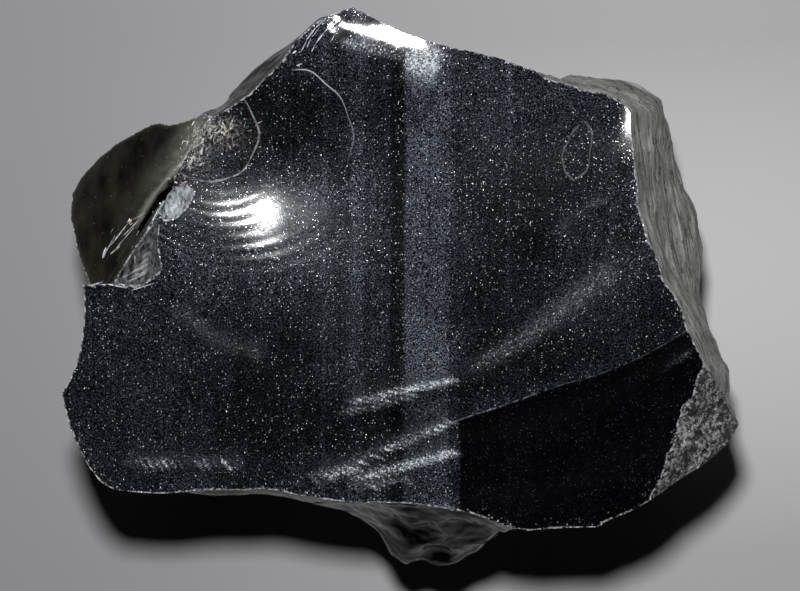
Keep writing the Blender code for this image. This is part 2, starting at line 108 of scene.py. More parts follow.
WARP = (0.5, 14.5)  # slow warp of every broken surface: height, size
CRAG_DEPTH = 2.2  # how much the crags add
UNDERCUT = 0.3  # how fast a flank draws in below its lower curve
BACK_OFF = 70.0  # how far behind its sheet a cutter's flat back lies
SEED = Vector((3.7, 1.9, 8.3))

# Flanks. Each is a sheet through an upper curve at height "top" and a lower one at "low",
# hollowed between them, with ripples that spread from "blow", a share of the way along.
# The ends of a curve run on past the flank's own corners, into the open.
FLANKS = {
    "left_hollow": dict(top=45, low=14, hollow=1.6, blow=0.45,
        upper=[(-54, 24), (-52.3, 13), (-50.7, 7.5), (-48.3, 3.4), (-46.2, 0.2), (-46, -4), (-46.5, -8.5),
               (-47.6, -12.3), (-49.3, -15.4), (-54, -21)],
        lower=[(-50.5, 24), (-49.6, 14), (-47, 8), (-43.5, 3), (-40, -1), (-38.5, -5), (-39, -10),
               (-41, -15), (-44, -20), (-49, -28)]),
    "left_low": dict(top=45, low=14, hollow=1.2, blow=0.5,
        upper=[(-51.5, -8), (-49.3, -15.5), (-48.4, -19.4), (-47.1, -22.6), (-45.6, -25.7), (-44.3, -27.6),
               (-40, -34)],
        lower=[(-44, -2), (-43, -9), (-41, -15), (-38.5, -20), (-35.5, -24.5), (-32, -28.5), (-25, -35)]),
    "corner_low": dict(top=45, low=14, hollow=0.6, blow=0.4,
        upper=[(-50, -20.5), (-44.4, -27.6), (-41.3, -29.6), (-37.4, -30.6), (-30, -36)],
        lower=[(-42, -17), (-37.5, -24), (-34, -29.5), (-28, -35), (-20, -41)]),
    "front": dict(top=45, low=28, hollow=0.5, blow=0.25, crags=(-5, 1),
        upper=[(-50, -28.5), (-36.4, -30), (-28.8, -29.5), (-23.9, -29.5), (-19.3, -29.4), (-14.8, -30.3),
               (-7.8, -31.2), (0, -31.3), (4.2, -31.7), (9.8, -32.8), (15.2, -34.8), (18.3, -35.5),
               (26, -38), (34, -40)],
        lower=[(-50, -31.8), (-36.2, -31.7), (-29, -32.6), (-23.5, -32.1), (-18.1, -32.5), (-13.5, -33.7),
               (-8.6, -34.4), (-3.6, -38.3), (-0.4, -42), (6.9, -42.1), (12, -40), (17.5, -37.2),
               (26, -37.6), (36, -40)]),
    "front_right": dict(top=44.5, low=20, hollow=1.2, blow=0.6,
        upper=[(3, -38), (11.6, -36.3), (18.2, -35.5), (22.5, -35), (26.6, -34.7), (33, -34.4)],
        lower=[(-2, -50), (9, -46), (16.5, -38), (22, -34), (28, -31.5), (36, -30)]),
    "corner_right": dict(top=44.5, low=14, hollow=1.6, blow=0.4,
        upper=[(23, -38.4), (29.1, -33.9), (32.7, -32.2), (36, -30.3), (39.5, -28.7), (47, -25)],
        lower=[(19, -33), (26, -28.5), (30.5, -26.5), (35, -25), (39.5, -23.5), (48, -19)]),
    "tip_under": dict(top=40, low=12, hollow=1, blow=0.5,
        upper=[(33, -33.6), (39.4, -29.8), (44, -26.2), (48.2, -23), (50.2, -20.6), (56, -14)],
        lower=[(29, -27), (35, -23.5), (39.5, -20), (43, -16.5), (45.5, -13.5), (51, -8)]),
    "cortex": dict(top=45.5, low=25, hollow=-0.6, blow=0.5, finish="cortex",
        upper=[(32.5, 34), (33.6, 25.6), (34.1, 20.3), (34.6, 14.2), (35.9, 8), (38, 2.3), (40.4, -2.6),
               (42.5, -7.3), (44.9, -13), (48.5, -21)],
        lower=[(39, 35), (42, 25.5), (42.7, 19.4), (44.5, 13.8), (46, 7), (46.2, -1.4), (47.8, -7.2),
               (50.2, -12.8), (51.5, -18.6), (54.5, -25)]),
    "cortex_top": dict(top=45.5, low=32, hollow=-0.3, blow=0.5, finish="cortex",
        upper=[(12, 35), (21.5, 30.9), (25.2, 29.6), (29.9, 28.3), (32.3, 27.2), (34.2, 24.9), (38, 19)],
        lower=[(12, 38), (22.2, 32.8), (25.8, 32.5), (31, 31.9), (34.4, 31.2), (37.4, 29.3), (41.2, 26),
               (46, 18)]),
    "back_right": dict(top=45.5, low=12, hollow=1.8, blow=0.5,
        upper=[(-13, 44), (-7.8, 41), (-5.7, 40), (-2.9, 38.4), (1, 36.6), (5, 35.4), (8, 34.5),
               (13.8, 33.2), (19.4, 31.6), (23, 34), (27, 40)],
        lower=[(-16, 32), (-10, 33), (-5.5, 33.5), (-1, 31.5), (4, 29.5), (8, 28.5), (12, 27.5), (18, 27),
               (23, 27.8), (28, 32), (33, 40)]),
    "back_left": dict(top=46.5, low=39.5, hollow=0.1, blow=0.6,
        upper=[(-33, 27.5), (-27.6, 24.4), (-22.3, 27.6), (-19.2, 30.8), (-17.3, 33.1), (-15.4, 35.7),
               (-13.3, 37.9), (-11, 39.5), (-7.8, 40.75), (-3, 44)],
        lower=[(-34, 30.5), (-27.8, 27.3), (-25.1, 29), (-22.7, 32.1), (-20.1, 34.4), (-17.5, 36.5),
               (-15.3, 38.4), (-12.4, 40.7), (-7.9, 41.9), (-2, 45)]),
    "shoulder_edge": dict(top=35, low=12, hollow=1.4, blow=0.4,
        upper=[(-51.5, 0), (-51.3, 9.9), (-49.5, 16.3), (-46.6, 19.2), (-42.9, 21.4), (-39, 22.7),
               (-35, 23.9), (-31.3, 23.7), (-27, 25), (-23, 28)],
        lower=[(-42, -2), (-41, 5), (-39.5, 10.5), (-36.5, 14), (-33, 16.8), (-29.5, 18.8), (-25.5, 20.5),
               (-21.5, 22), (-17, 24.5), (-13, 28)]),
    "back_under": dict(top=39.5, low=12, hollow=1.2, blow=0.5,
        upper=[(-35, 31), (-27.8, 27.3), (-22.7, 32.1), (-17.5, 36.5), (-12.4, 40.8), (-7.9, 43.2),
               (0, 47)],
        lower=[(-28, 16), (-20.5, 20.5), (-16.5, 25), (-12.5, 29), (-8, 32.5), (-2, 36), (8, 41)]),
}

# Round scars on the flanks and round the base: a point on each, the way it faces and the
# radius of its hollow.
SCARS = {
    "spall_left": dict(at=(-40.5, -8, 22), faces=(-0.97, -0.08, -0.22), hollow=34),
    "spall_front": dict(at=(-21, -26.8, 14), faces=(-0.18, -0.96, -0.22), hollow=36),
    "spall_front_right": dict(at=(28, -27.4, 24), faces=(0.34, -0.92, -0.2), hollow=34),
    "spall_back": dict(at=(4, 28.6, 24), faces=(0.24, 0.94, -0.22), hollow=38),
    "spall_back_left": dict(at=(-30, 19, 18), faces=(-0.62, 0.76, -0.22), hollow=34),
    "under_west": dict(at=(-30, -6, 10), faces=(-0.72, -0.25, -0.65), hollow=90),
    "under_south_west": dict(at=(-16, -22.5, 6), faces=(-0.2, -0.6, -0.77), hollow=45),
    "under_south": dict(at=(8, -27, 13), faces=(0.15, -0.8, -0.58), hollow=60),
    "under_south_east": dict(at=(28, -17, 7), faces=(0.5, -0.45, -0.74), hollow=120),
    "under_east": dict(at=(36.5, 0, 12), faces=(0.8, 0.05, -0.6), hollow=70, finish="cortex"),
    "under_north_east": dict(at=(18, 20, 12), faces=(0.35, 0.66, -0.66), hollow=50),
    "under_north": dict(at=(-10, 20, 7), faces=(-0.15, 0.6, -0.78), hollow=90),
    "under_north_west": dict(at=(-28, 8, 10), faces=(-0.7, 0.4, -0.6), hollow=60),
}

# Small flakes knocked off along the crest and round the blow: centre, half sizes, turn about Z.
CHIPS = {
    "oval": dict(at=(-32.4, 12.7, 45.8), half=(4.1, 2.1, 1.3), turn=45),
    "crest_leaf": dict(
        at=(-37.0, 3.8, 47.2), depth=3.0, rim=0.745,
        outline=[(-35.2, 10.4), (-35.6, 6.5), (-34.8, 2.6), (-37.8, 0.3), (-41.9, 0.9), (-38.4, 6.2)],
    ),
    "blow_left": dict(at=(-29.8, 22.0, 46.0), half=(1.7, 1.1, 1.5), turn=70),
    "blow_right": dict(at=(-27.4, 23.6, 45.7), half=(1.5, 1.0, 1.3), turn=-20),
    "rim_top": dict(at=(-17.0, 34.8, 46.9), half=(2.6, 1.2, 1.3), turn=60),
}

# Rough chamfer that takes the lower right corner off the top face.
CHAMFER = dict(at=(43.2, -21.0, 44.6), faces=(0.62, -0.28, 0.73), hollow=400, finish="rough")

# How fine the sheets are, in millimetres between their lines.
FINE_RING = 0.36
FINE_FLANK = 0.8
FINE_SCAR = 1.0
FINE_SPOKES = 320

# The round scar by the upper edge of the face: its middle and its size. A thin highlight is painted along its
# lip.
FLAKE_SCAR = (-17.6, 21.9, 10.3)
BLOW_RING = (-28.0, 22.5, 6.9)
FIBRE = dict(at=(25.3, 19.6), half=(1.9, 4.3), turn=-12)  # a dust fibre that lies on the face in a loop

FINE_RIPPLE = 1.55  # the distance between two of the face's closest ripples

# Ripples of the face that stand out: their lines in plan, half widths at the two ends, how
# steeply each turns towards the light and how strongly the highlight painted along it shows. Those that don't
# turn carry only the painted highlight.
STREAKS = [
    ([(-8.2, -17), (-3, -15.9), (0.3, -15), (4, -14.2), (8, -13.3)], 0.18, 0.27, 0.08, 0.9),
    ([(-9.5, -18.6), (-2, -16.8), (1.8, -15.6)], 0.13, 0.15, 0, 0.4),
    ([(8.4, -12.8), (15, -9), (22, -4), (31, 3.2)], 0.7, 1.2, 0.05, 0.14),
    ([(-13.4, -28), (-10, -27.3), (-6, -26.3)], 0.2, 0.16, 0, 0.8),
    ([(-12.6, -27.7), (-6.5, -25.9), (-1.2, -23.3), (8, -19.4)], 0.08, 0.12, 0, 1),
    ([(-7.6, -28.2), (0, -26.2), (8.2, -23.8)], 0.22, 0.3, 0.09, 1),
    ([(-7.2, -29.6), (1, -27.9)], 0.11, 0.11, 0, 0.9),
    ([(-34, -1.5), (-30.5, -4.8), (-27, -7.4), (-20, -9.6)], 0.8, 1, 0.04, 0.07),
    ([(-41.5, -25.9), (-34, -25.8), (-23, -26)], 0.09, 0.09, 0, 0.75),
    ([(22.5, 8.2), (25, 9.7), (28.3, 12.5)], 0.07, 0.07, 0, 0.4),
    ([(37.6, -11.8), (42.4, -8.8)], 0.18, 0.18, 0.08, 0.25),
    # The last two paint the glow round the highlight on the top lip.
    ([(0.4, 33.6), (2.8, 33), (5.4, 32.4)], 1.3, 1.5, 0, 1),
    ([(-9.2, 35.8), (-4, 35), (1.5, 33.9)], 0.5, 0.6, 0, 0.35),
]

STREAK_PAINTED_GLOW = (0.24, 0.8)  # the painted glow above a streak: its share, and how far it reaches in millimetres

# Line of the last strong ripple, which closes the sheen off from the clear black glass below it. A thin
# painted highlight runs along its right part.
LAST_RIPPLE = [(-22, -31), (-12.6, -27.9), (-6.5, -26.1), (-1.2, -23.5), (7.5, -19.6), (15.2, -17),
    (22.5, -14.3), (28.3, -12.6), (36, -9.2), (46, -3)]

# Flow bands: how strongly each stretch along X shines, from the left end of the face.
FLOW_BANDS = [
   (-50, 0.2), (-33, 0.3), (-20, 0.42), (-12.2, 0.46), (-11.9, 0.66), (-10.6, 0.6), (-10.3, 0.38),
    (-8, 0.44), (-7.7, 0.74), (-5.8, 0.66), (-5.5, 0.36), (-1.8, 0.28), (-1.5, 0.1), (0.2, 0.14), (0.5, 1),
    (6.7, 0.96), (7, 0.46), (15.2, 0.42), (15.35, 2.2), (15.5, 2.2), (15.65, 0.4), (22, 0.44), (31, 0.42),
    (40, 0.34), (50, 0.28),
]
BAND_TILT = -0.008  # how far the bands lean, along X for each millimetre of Y

# Broad lighter and darker patches of the face's painted sheen, among them a painted glow round the highlight
# in the bulb hollow: middle, half sizes and how much they add.
PAINTED_SHEEN_PATCHES = [
   (-18, 24.5, 8, 7.5, -0.78), (-36, -12, 10, 14, -0.1), (-22, 12, 13, 5, 0.28), (-19.5, 9, 9, 4.5, 0.65),
    (-21, -2.5, 12, 8, -0.3), (-18.5, -20.5, 10, 10, -0.66), (-6, -23, 5, 6, -0.22),
    (3.5, -19.5, 7, 2.5, -0.38), (40, 8, 5, 12, -0.15), (3.6, -8, 4, 5, 0.3), (15, -4, 9, 10, -0.56),
    (26, 23, 11, 8, -0.22), (-2, 28, 10, 5, -0.22), (-30, 1, 5, 4, 0.15), (21, 12.5, 11, 6.5, -0.42),
    (3.5, -14.8, 6, 1.6, -0.35), (38, -3.5, 6, 5, -0.42), (28, -9.5, 9, 2.8, -0.4),
    (15, -13, 7, 2.8, -0.25), (3.5, -26, 5, 4, -0.4),
]

# Finishes of the chips that aren't plain broken glass.
CHIP_FINISH = {"oval": "pale_flake", "crest_leaf": "grey_flake"}

# Small breaks seen from above: place in plan, half sizes along, across and down, and the turn.
MARKS = {
    "crevice": [(-34.9, 13.7, 3, 0.9, 1.5, 54), (-37.5, 9.6, 2.4, 0.45, 1, 60)],
    # Crack marks: thin pale bites, cracks inside the glass painted as bright glints.
    "crack": [
       (-42.9, 6.2, 1.9, 0.1, 0.25, 62), (-41.4, 7.9, 2.1, 0.12, 0.25, 50),
        (-40.6, 7.2, 2.4, 0.09, 0.2, 47), (-39.6, 8.8, 1.6, 0.1, 0.2, 42), (-43.6, 5.2, 0.9, 0.28, 0.2, 80),
        (-41.9, 5.6, 1, 0.16, 0.2, 35), (-38.7, 1.5, 2.4, 0.09, 0.2, 28), (-37.6, 0.2, 1.9, 0.08, 0.2, 18),
        (-44.8, 0.6, 1.4, 0.12, 0.2, 8), (-41.8, 0.4, 1.6, 0.12, 0.2, -12),
        (-36.4, 10.9, 1.3, 0.12, 0.3, 60), (-38.3, 10.6, 1.2, 0.08, 0.2, 20),
    ],
    # Hackle marks: thin pale bites that paint the highlights on the hackle ridges by the top lip, and two
    # small painted highlight spots.
    "hackle": [
       (-11.75, 38.55, 1.15, 0.1, 0.25, 41), (-13.2, 37, 1.15, 0.12, 0.25, 51),
        (-14.2, 35.3, 1, 0.09, 0.25, 61), (-10.7, 37.8, 1, 0.08, 0.25, 45),
        (-11.95, 36.35, 1, 0.11, 0.25, 54), (-12.8, 35, 0.7, 0.07, 0.25, 63),
        (-12.5, 37.2, 0.9, 0.06, 0.2, 52), (-13.5, 35.7, 0.8, 0.07, 0.2, 66),
        (-10, 36.4, 0.8, 0.06, 0.2, 58), (-15.6, 34.4, 0.35, 0.14, 0.2, 40),
        (-14.9, 32.6, 0.5, 0.12, 0.2, 20),
    ],
    "spark": [(-39.7, 9.8, 0.45, 0.11, 0.2, 52), (-25.8, 23.2, 0.45, 0.07, 0.2, 110)],
    "cyan_glint": [(-22.9, 23.9, 0.5, 0.05, 0.15, 75), (-23.4, 25.6, 0.3, 0.05, 0.15, 100)],
    "pink_glint": [(-24.4, 20.9, 0.35, 0.06, 0.15, 35), (-25.2, 22.1, 0.3, 0.05, 0.15, 60)],
}

# Shattered glass round the blow: middle and spread in plan, how many shards, and their turn.
SHARDS = [
    dict(at=(-29, 22.6), spread=(1.4, 1.1), count=46, turn=60),
    dict(at=(-30.4, 19.8), spread=(0.8, 1.6), count=44, turn=75),
    dict(at=(-25.8, 22.4), spread=(1.8, 1.8), count=30, turn=80),
    dict(at=(-32.6, 17), spread=(1.2, 1.2), count=10, turn=50),
    dict(at=(-38.6, 8.2), spread=(1.6, 2.2), count=12, turn=55),
]

# The light crest between the shoulder and the face.
CREST = [(-28, 24.4), (-30, 21.2), (-32, 18.4), (-34.2, 16), (-36.2, 13.6), (-37.6, 11.4), (-39, 8.6)]

# Crushed white glass: middle, half sizes and strength.
CRUSHED = [(-29.3, 20.8, 1.2, 3.2, 0.4), (-27.5, 23.6, 1.4, 1, 0.4), (-26.3, 22.9, 1.1, 1.3, 0.5),
           (-24.6, 22.4, 2.4, 1.6, 0.2)]


# ---------------------------------------------------------------- small helpers


def smooth_step(low, high, value):
    """0 below low, 1 above high, with a smooth run between."""
    share = min(max((value - low) / (high - low), 0.0), 1.0)
    return share * share * (3.0 - 2.0 * share)


def dip(distance, width):
    """1 at the middle, falling away to 0 over about three widths."""
    return math.exp(-0.5 * (distance / width) ** 2)


def spline(points, share):
    """The point at share 0..1 along a Catmull-Rom curve, even by index."""
    last = len(points) - 1
    place = min(max(share, 0.0), 1.0) * last
    index = min(int(place), last - 1)
    t = place - index
    p1, p2 = points[index], points[index + 1]
    p0 = points[index - 1] if index else p1
    p3 = points[index + 2] if index + 2 <= last else p2
    return Vector(
        0.5 * (2 * b + (c - a) * t + (2 * a - 5 * b + 4 * c - d) * t**2 + (3 * b - a - 3 * c + d) * t**3)
        for a, b, c, d in zip(p0, p1, p2, p3)
    )


def grain(point, size):
    """Smooth noise in -1..1 with features of about the given size in millimetres."""
    return noise.noise(Vector(point) / size + SEED)


def window(start, rise, fall, end, value):
    """Up from start to rise, down again from fall to end."""
    return smooth_step(start, rise, value) * (1.0 - smooth_step(fall, end, value))


def new_data(name, mesh):
    """Turns a bmesh into mesh data and frees it."""
    data = bpy.data.meshes.new(name)
    mesh.to_mesh(data)
    mesh.free()
    return data


def set_normals(data, normals):
    """Stores the true normal of each vertex."""
    layer = data.attributes.new("normal_at", "FLOAT_VECTOR", "POINT")
    layer.data.foreach_set("vector", np.asarray(normals, np.float32).ravel())


# ---------------------------------------------------------------- cutters


class Cuts:
    """Every fracture in order, with the finish that it leaves."""

    def __init__(self):
        self.finishes = ["base"]
        self.objects = []

    def add(self, name, data, finish):
        """Makes a cutter of a closed mesh that carries its true normals."""
        carry_layers(data, len(self.finishes))
        self.finishes.append(finish)
        cutter = bpy.data.objects.new(name, data)
        self.objects.append(cutter)
        return cutter


def carry_layers(data, cut_index):
    """Turns the normals at the vertices into a corner layer, which the Boolean keeps apart."""
    corner_vert = np.empty(len(data.loops), np.int64)
    data.loops.foreach_get("vertex_index", corner_vert)
    normals = read(data, "normal_at", np.float32, 3)[corner_vert]
    layer = data.attributes.new("cut", "INT", "FACE")
    layer.data.foreach_set("value", np.full(len(data.polygons), cut_index, np.int32))
    layer = data.attributes.new("sheet_normal", "FLOAT_VECTOR", "CORNER")
    layer.data.foreach_set("vector", normals.ravel())
    data.attributes.remove(data.attributes["normal_at"])


def read(data, layer, kind, width=1):
    """A mesh layer as a numpy array."""
    source = data.attributes[layer]
    values = np.empty(len(source.data) * width, kind)
    source.data.foreach_get("vector" if width == 3 else "value", values)
    return values.reshape(-1, 3) if width == 3 else values


def close_sheet(cuts, name, mesh, back_plane, finish):
    """Runs a sheet's edge back to a flat plane, closes it there and makes it a cutter."""
    mesh.normal_update()
    normal_at = mesh.verts.layers.float_vector.new("normal_at")
    some = next(iter(mesh.verts))
    turn = 1.0 if (Vector(back_plane(some.co)) - some.co).dot(some.normal) > 0 else -1.0
    for vert in mesh.verts:
        vert[normal_at] = vert.normal * turn
    edges = [edge for edge in mesh.edges if edge.is_boundary]
    pulled = bmesh.ops.extrude_edge_only(mesh, edges=edges)["geom"]
    for item in pulled:
        if isinstance(item, bmesh.types.BMVert):
            item.co = back_plane(item.co)
    rim = [item for item in pulled if isinstance(item, bmesh.types.BMEdge)]
    bmesh.ops.contextual_create(mesh, geom=rim)
    bmesh.ops.scale(mesh, vec=(MM, MM, MM), verts=mesh.verts)
    bmesh.ops.recalc_face_normals(mesh, faces=mesh.faces)
    cuts.add(f"cut_{name}", new_data(name, mesh), finish)


def above(co):
    """Where a sheet that is cut off upwards is closed."""
    return co.x, co.y, FACE_Z + BACK_OFF


def disc(rings, spokes):
    """A flat disc of concentric rings about the origin, turned from one spoke."""
    mesh = bmesh.new()
    verts = [mesh.verts.new((radius, 0.0, 0.0)) for radius in (0.0, *rings)]
    edges = [mesh.edges.new(pair) for pair in zip(verts, verts[1:])]
    bmesh.ops.spin(
        mesh, geom=verts + edges, cent=(0, 0, 0), axis=(0, 0, 1), angle=math.tau, steps=spokes, use_merge=True
    )
    bmesh.ops.remove_doubles(mesh, verts=mesh.verts, dist=0.001)
    return mesh


# ---------------------------------------------------------------- the top face


def ring_point(ring, angle):
    """Where a ripple ring passes in plan: round near the blow, drawn out along +X further off."""
    stretch = RING_STRETCH * smooth_step(*RINGS_TURN, ring)
    reach = ring / (1.0 - stretch * math.cos(angle))
    return STRIKE[0] + reach * math.cos(angle), STRIKE[1] + reach * math.sin(angle)


def hollow_at(x, y, hollow):
    """Depth of a round hollow at a place."""
    (at_x, at_y), (half_x, half_y) = hollow["at"], hollow["half"]
    return hollow["depth"] * dip(math.hypot((x - at_x) / half_x, (y - at_y) / half_y), 1.0)


def top_swell(x, y):
    """The swell along the top edge of the face and the lip beyond it."""
    along = y + TOP_SWELL["slant"] * x
    rise = TOP_SWELL["swell"] * max(along - TOP_SWELL["swell_from"], 0) ** 2
    rise -= TOP_SWELL["lip"] * max(along - TOP_SWELL["lip_from"], 0) ** 2
    return rise * smooth_step(-20, -10, x) * (1 - smooth_step(5, 14, x))


def face_height(x, y, ring):
    """Height of the top face: a shallow dish with hollows, a lip and ripples."""
    x, y = min(max(x, -54.0), 54.0), min(max(y, -44.0), 44.0)
    up, right, left = FACE_DISH
    z = FACE_Z + up * (y + 32) ** 2 + right * max(x + 12, 0) ** 2 + left * min(x + 8, 0) ** 2
    z += top_swell(x, y) - hollow_at(x, y, BULB_HOLLOW) - hollow_at(x, y, CORNER_HOLLOW)
    upturn = max(y + RIGHT_UPTURN["slant"] * x - RIGHT_UPTURN["start"], 0)
    z += RIGHT_UPTURN["rise"] * upturn**2 * smooth_step(4, 10, x) * (1 - smooth_step(27, 33, x))
    calm = BROAD_RIPPLES["calm"] + (1 - BROAD_RIPPLES["calm"]) * smooth_step(-20, 0, x)
    wave = math.cos(math.tau * (ring - BROAD_RIPPLES["crest"]) / BROAD_RIPPLES["apart"])
    z += BROAD_RIPPLES["height"] * calm * smooth_step(26, 31, ring) * wave
    z += 0.20 * grain((x, y, 3), 24) + 0.05 * grain((x, y, 7), 8)
    return z + fine_ripples(x, y, ring)


def fine_ripples(x, y, ring):
    """What a fine sheet adds: close ripples, and hackles by the top lip."""
    wander = ring + 0.5 * grain((x, y, 1), 9)
    lively = 1.0 - 0.7 * window(-23, -20, -15, -11, x)
    height = lively * (0.0015 + 0.0025 * window(10, 13, 22, 26, ring))
    height += 0.008 * window(17.5, 19, 21.5, 23, ring)
    z = height * math.cos(math.tau * wander / FINE_RIPPLE)
    z += 0.003 * lively * grain((x, y, 9), 5) * math.cos(math.tau * wander / (0.62 * FINE_RIPPLE))
    across, along = 0.82 * x - 0.57 * y, 0.57 * x + 0.82 * y
    hackle = window(-33.2, -32.4, -30.2, -29.4, across) * window(17.5, 19.5, 27.0, 29.0, along)
    z += 0.06 * hackle * math.cos(math.tau * (across + 0.25 * grain((x, y, 4), 3)) / 0.9)
    z += 0.055 * smooth_step(28.0, 33.0, y + 0.4 * x) * grain((x, y, 5), 2.2)
    return z


def streak_gaps(plan):
    """For each streak its slope and level, and for each place the distance, the width and how far along."""
    for path, start, end, slope, level in STREAKS:
        gap, along = line_distance(plan, smooth(path))
        yield slope, level, gap, start + (end - start) * along, along


def streak_relief(plan):
    """Small steps of the surface along the bright streaks, which turn it towards the light."""
    rise = np.zeros(len(plan))
    for slope, _, gap, width, along in streak_gaps(plan):
        fade = np.clip(along / 0.25, 0, 1) * np.clip((1 - along) / 0.15, 0, 1)
        rise -= slope * fade * gap * np.exp(-0.5 * (gap / width) ** 2)
    return rise


def face_rings():
    """Sizes of the rings, evenly close as far as the ripples show."""
    rings = [0.5]
    while rings[-1] < 46.0:
        rings.append(rings[-1] + FINE_RING)
    while rings[-1] < RINGS_END:
        rings.append(rings[-1] + 2.0 * FINE_RING)
    return rings


def face_cutter(cuts):
    mesh = disc(face_rings(), FINE_SPOKES)
    for vert in mesh.verts:
        ring = vert.co.length
        x, y = ring_point(ring, math.atan2(vert.co.y, vert.co.x))
        vert.co = (x, y, face_height(x, y, ring))
    relief = streak_relief(np.array([vert.co.xy for vert in mesh.verts]))
    for vert, rise in zip(mesh.verts, relief):
        vert.co.z += rise
    close_sheet(cuts, "top_face", mesh, above, "face")


# ---------------------------------------------------------------- flanks


def skin(point, finish):
    """Relief of a rough finish; glass has none."""
    if finish == "cortex":
        x, y, z = point
        run = grain((x * 0.9, y * 0.16, z * 0.5), 1.1)
        return 0.55 * grain(point, 4.2) + 0.26 * run + 0.12 * grain(point, 0.9)
    if finish == "rough":
        return 0.35 * grain(point, 3.6) + 0.22 * grain(point, 1.3) + 0.12 * grain(point, 0.6)
    return 0.006 * grain(point, 1.6)


def crag(point):
    """Sharp irregular ridges with hollows between them."""
    return 0.35 - abs(grain(point, 5.0)) - 0.3 * abs(grain(point, 2.2))


def blow_relief(out, reach, wander, blow):
    """Adds the dent round a blow, and the wide and the close ripples that spread from it."""
    dent, dent_width, wide, wide_apart, close, close_apart = blow
    out -= dent * dip(reach - 5.0, dent_width)
    out += wide * smooth_step(6, 14, reach) * math.cos(math.tau * reach / wide_apart)
    return out + close * smooth_step(4, 8, reach) * math.cos(math.tau * (reach + wander) / close_apart)


def flank_cutter(cuts, name, flank):
    """A sheet through a flank's two curves, carried up past the rim and down past the base."""
    upper, lower, finish = flank["upper"], flank["lower"], flank.get("finish", "glass")
    high, deep = BLOCK[2] + 4.0, -4.0
    chord = Vector(upper[-1]) - Vector(upper[0])
    outward = Vector((chord.y, -chord.x)).normalized()
    if outward.dot(spline(upper, 0.5)) < 0:
        outward.negate()
    blow = spline(upper, flank["blow"])
    fine = FINE_FLANK * (0.5 if finish == "cortex" else 1.0)
    lines = dict(x_segments=int(chord.length / fine), y_segments=int((high - deep) / fine))
    mesh = bmesh.new()
    bmesh.ops.create_grid(mesh, size=1.0, **lines)
    for vert in mesh.verts:
        share = 0.5 * (vert.co.x + 1.0)
        z = deep + (high - deep) * 0.5 * (vert.co.y + 1.0)
        depth = (flank["top"] - z) / (flank["top"] - flank["low"])
        a, b = spline(upper, share), spline(lower, share)
        plan = a + (b - a) * min(max(depth, -0.3), 1.0)
        plan -= outward * UNDERCUT * max(flank["low"] - z, 0.0)
        place = (plan.x, plan.y, z)
        out = -flank["hollow"] * max(4.0 * depth * (1.0 - depth), 0.0)
        reach = math.hypot((plan - blow).length, flank["top"] - z)
        out = blow_relief(out, reach, grain(place, 9), FLANK_BLOW)
        out += WARP[0] * grain(place, WARP[1])
        if "crags" in flank:
            out += CRAG_DEPTH * smooth_step(*flank["crags"], plan.x) * crag(place)
        out *= smooth_step(0.0, 0.3, depth)
        out += skin(place, finish)
        vert.co = (*(plan + outward * out), z)
    flat = outward * BACK_OFF

    def back(co):
        run = co.to_2d() - outward * co.to_2d().dot(outward)
        return (*(run + flat), co.z)

    close_sheet(cuts, name, mesh, back, finish)


# ---------------------------------------------------------------- scars and chips


def scar_rings(radius, fine):
    """Fine rings over the middle of a scar, wider ones beyond it."""
    rings = [fine]
    while rings[-1] < min(30.0, radius):
        rings.append(rings[-1] + fine)
    while rings[-1] < radius:
        rings.append(rings[-1] + 3.5)
    return rings


def scar_cutter(cuts, name, scar, radius=62.0):
    """A shallow round hollow facing its own way, with ripples spreading from its upper edge."""
    finish = scar.get("finish", "glass")
    facing = Vector(scar["faces"]).normalized()
    across = facing.cross(Vector((0, 0, 1))).normalized()
    place = Matrix((across, across.cross(facing), facing)).transposed()
    centre = Vector(scar["at"])
    fine, spokes = (0.4 * FINE_SCAR, 150) if finish == "rough" else (FINE_SCAR, 120)
    mesh = disc(scar_rings(radius, fine), spokes)
    for vert in mesh.verts:
        flat = vert.co.to_2d()
        height = vert.co.length_squared / (2.0 * scar["hollow"])
        reach = (flat - Vector(SCAR_BLOW_AT)).length
        height = blow_relief(height, reach, grain((*flat, 2), 9), SCAR_BLOW)
        height += WARP[0] * grain((*flat, scar["hollow"]), WARP[1])
        height += skin((*flat, 5), finish)
        vert.co = centre + place @ Vector((flat.x, flat.y, height))

    def back(co):
        local = place.transposed() @ (co - centre)
        return centre + place @ Vector((local.x, local.y, BACK_OFF))

    close_sheet(cuts, name, mesh, back, finish)


def shoulder_cutter(cuts):
    """The sloping shoulder: a rounded sheet that stops at a small step above the left hollow."""
    facing = Vector(SHOULDER_FACES).normalized()
    away = facing.xy.normalized()
    crest = Vector(SHOULDER_CREST)
    along = Vector((away.y, -away.x))
    length, width, middle = SHOULDER_SPAN
    mesh = bmesh.new()
    bmesh.ops.create_grid(mesh, x_segments=100, y_segments=84, size=1.0)
    for vert in mesh.verts:
        plan = Vector(SHOULDER_END) + along * length * (vert.co.x + 1.0)
        plan += Vector(SHOULDER_AWAY) * (middle + width * vert.co.y)
        out = (plan - crest.xy).dot(away)
        z = crest.z - facing.xy.length / facing.z * out
        z -= 0.010 * max(out, 0) ** 2 - 0.012 * min(out, 0) ** 2
        z += 0.35 * grain((plan.x, plan.y, 2), 9)
        z += 0.012 * math.cos(math.tau * (out + grain((plan.x, plan.y, 5), 6)) / 1.7)
        vert.co = (plan.x, plan.y, z)
    close_sheet(cuts, "shoulder", mesh, above, "shoulder")


def unit_ball(subdivisions):
    """Places and triangles of a ball of radius 1."""
    mesh = bmesh.new()
    bmesh.ops.create_icosphere(mesh, subdivisions=subdivisions, radius=1.0)
    mesh.verts.index_update()
    places = np.array([vert.co for vert in mesh.verts])
    faces = np.array([[vert.index for vert in face.verts] for face in mesh.faces])
    mesh.free()
    return places, faces


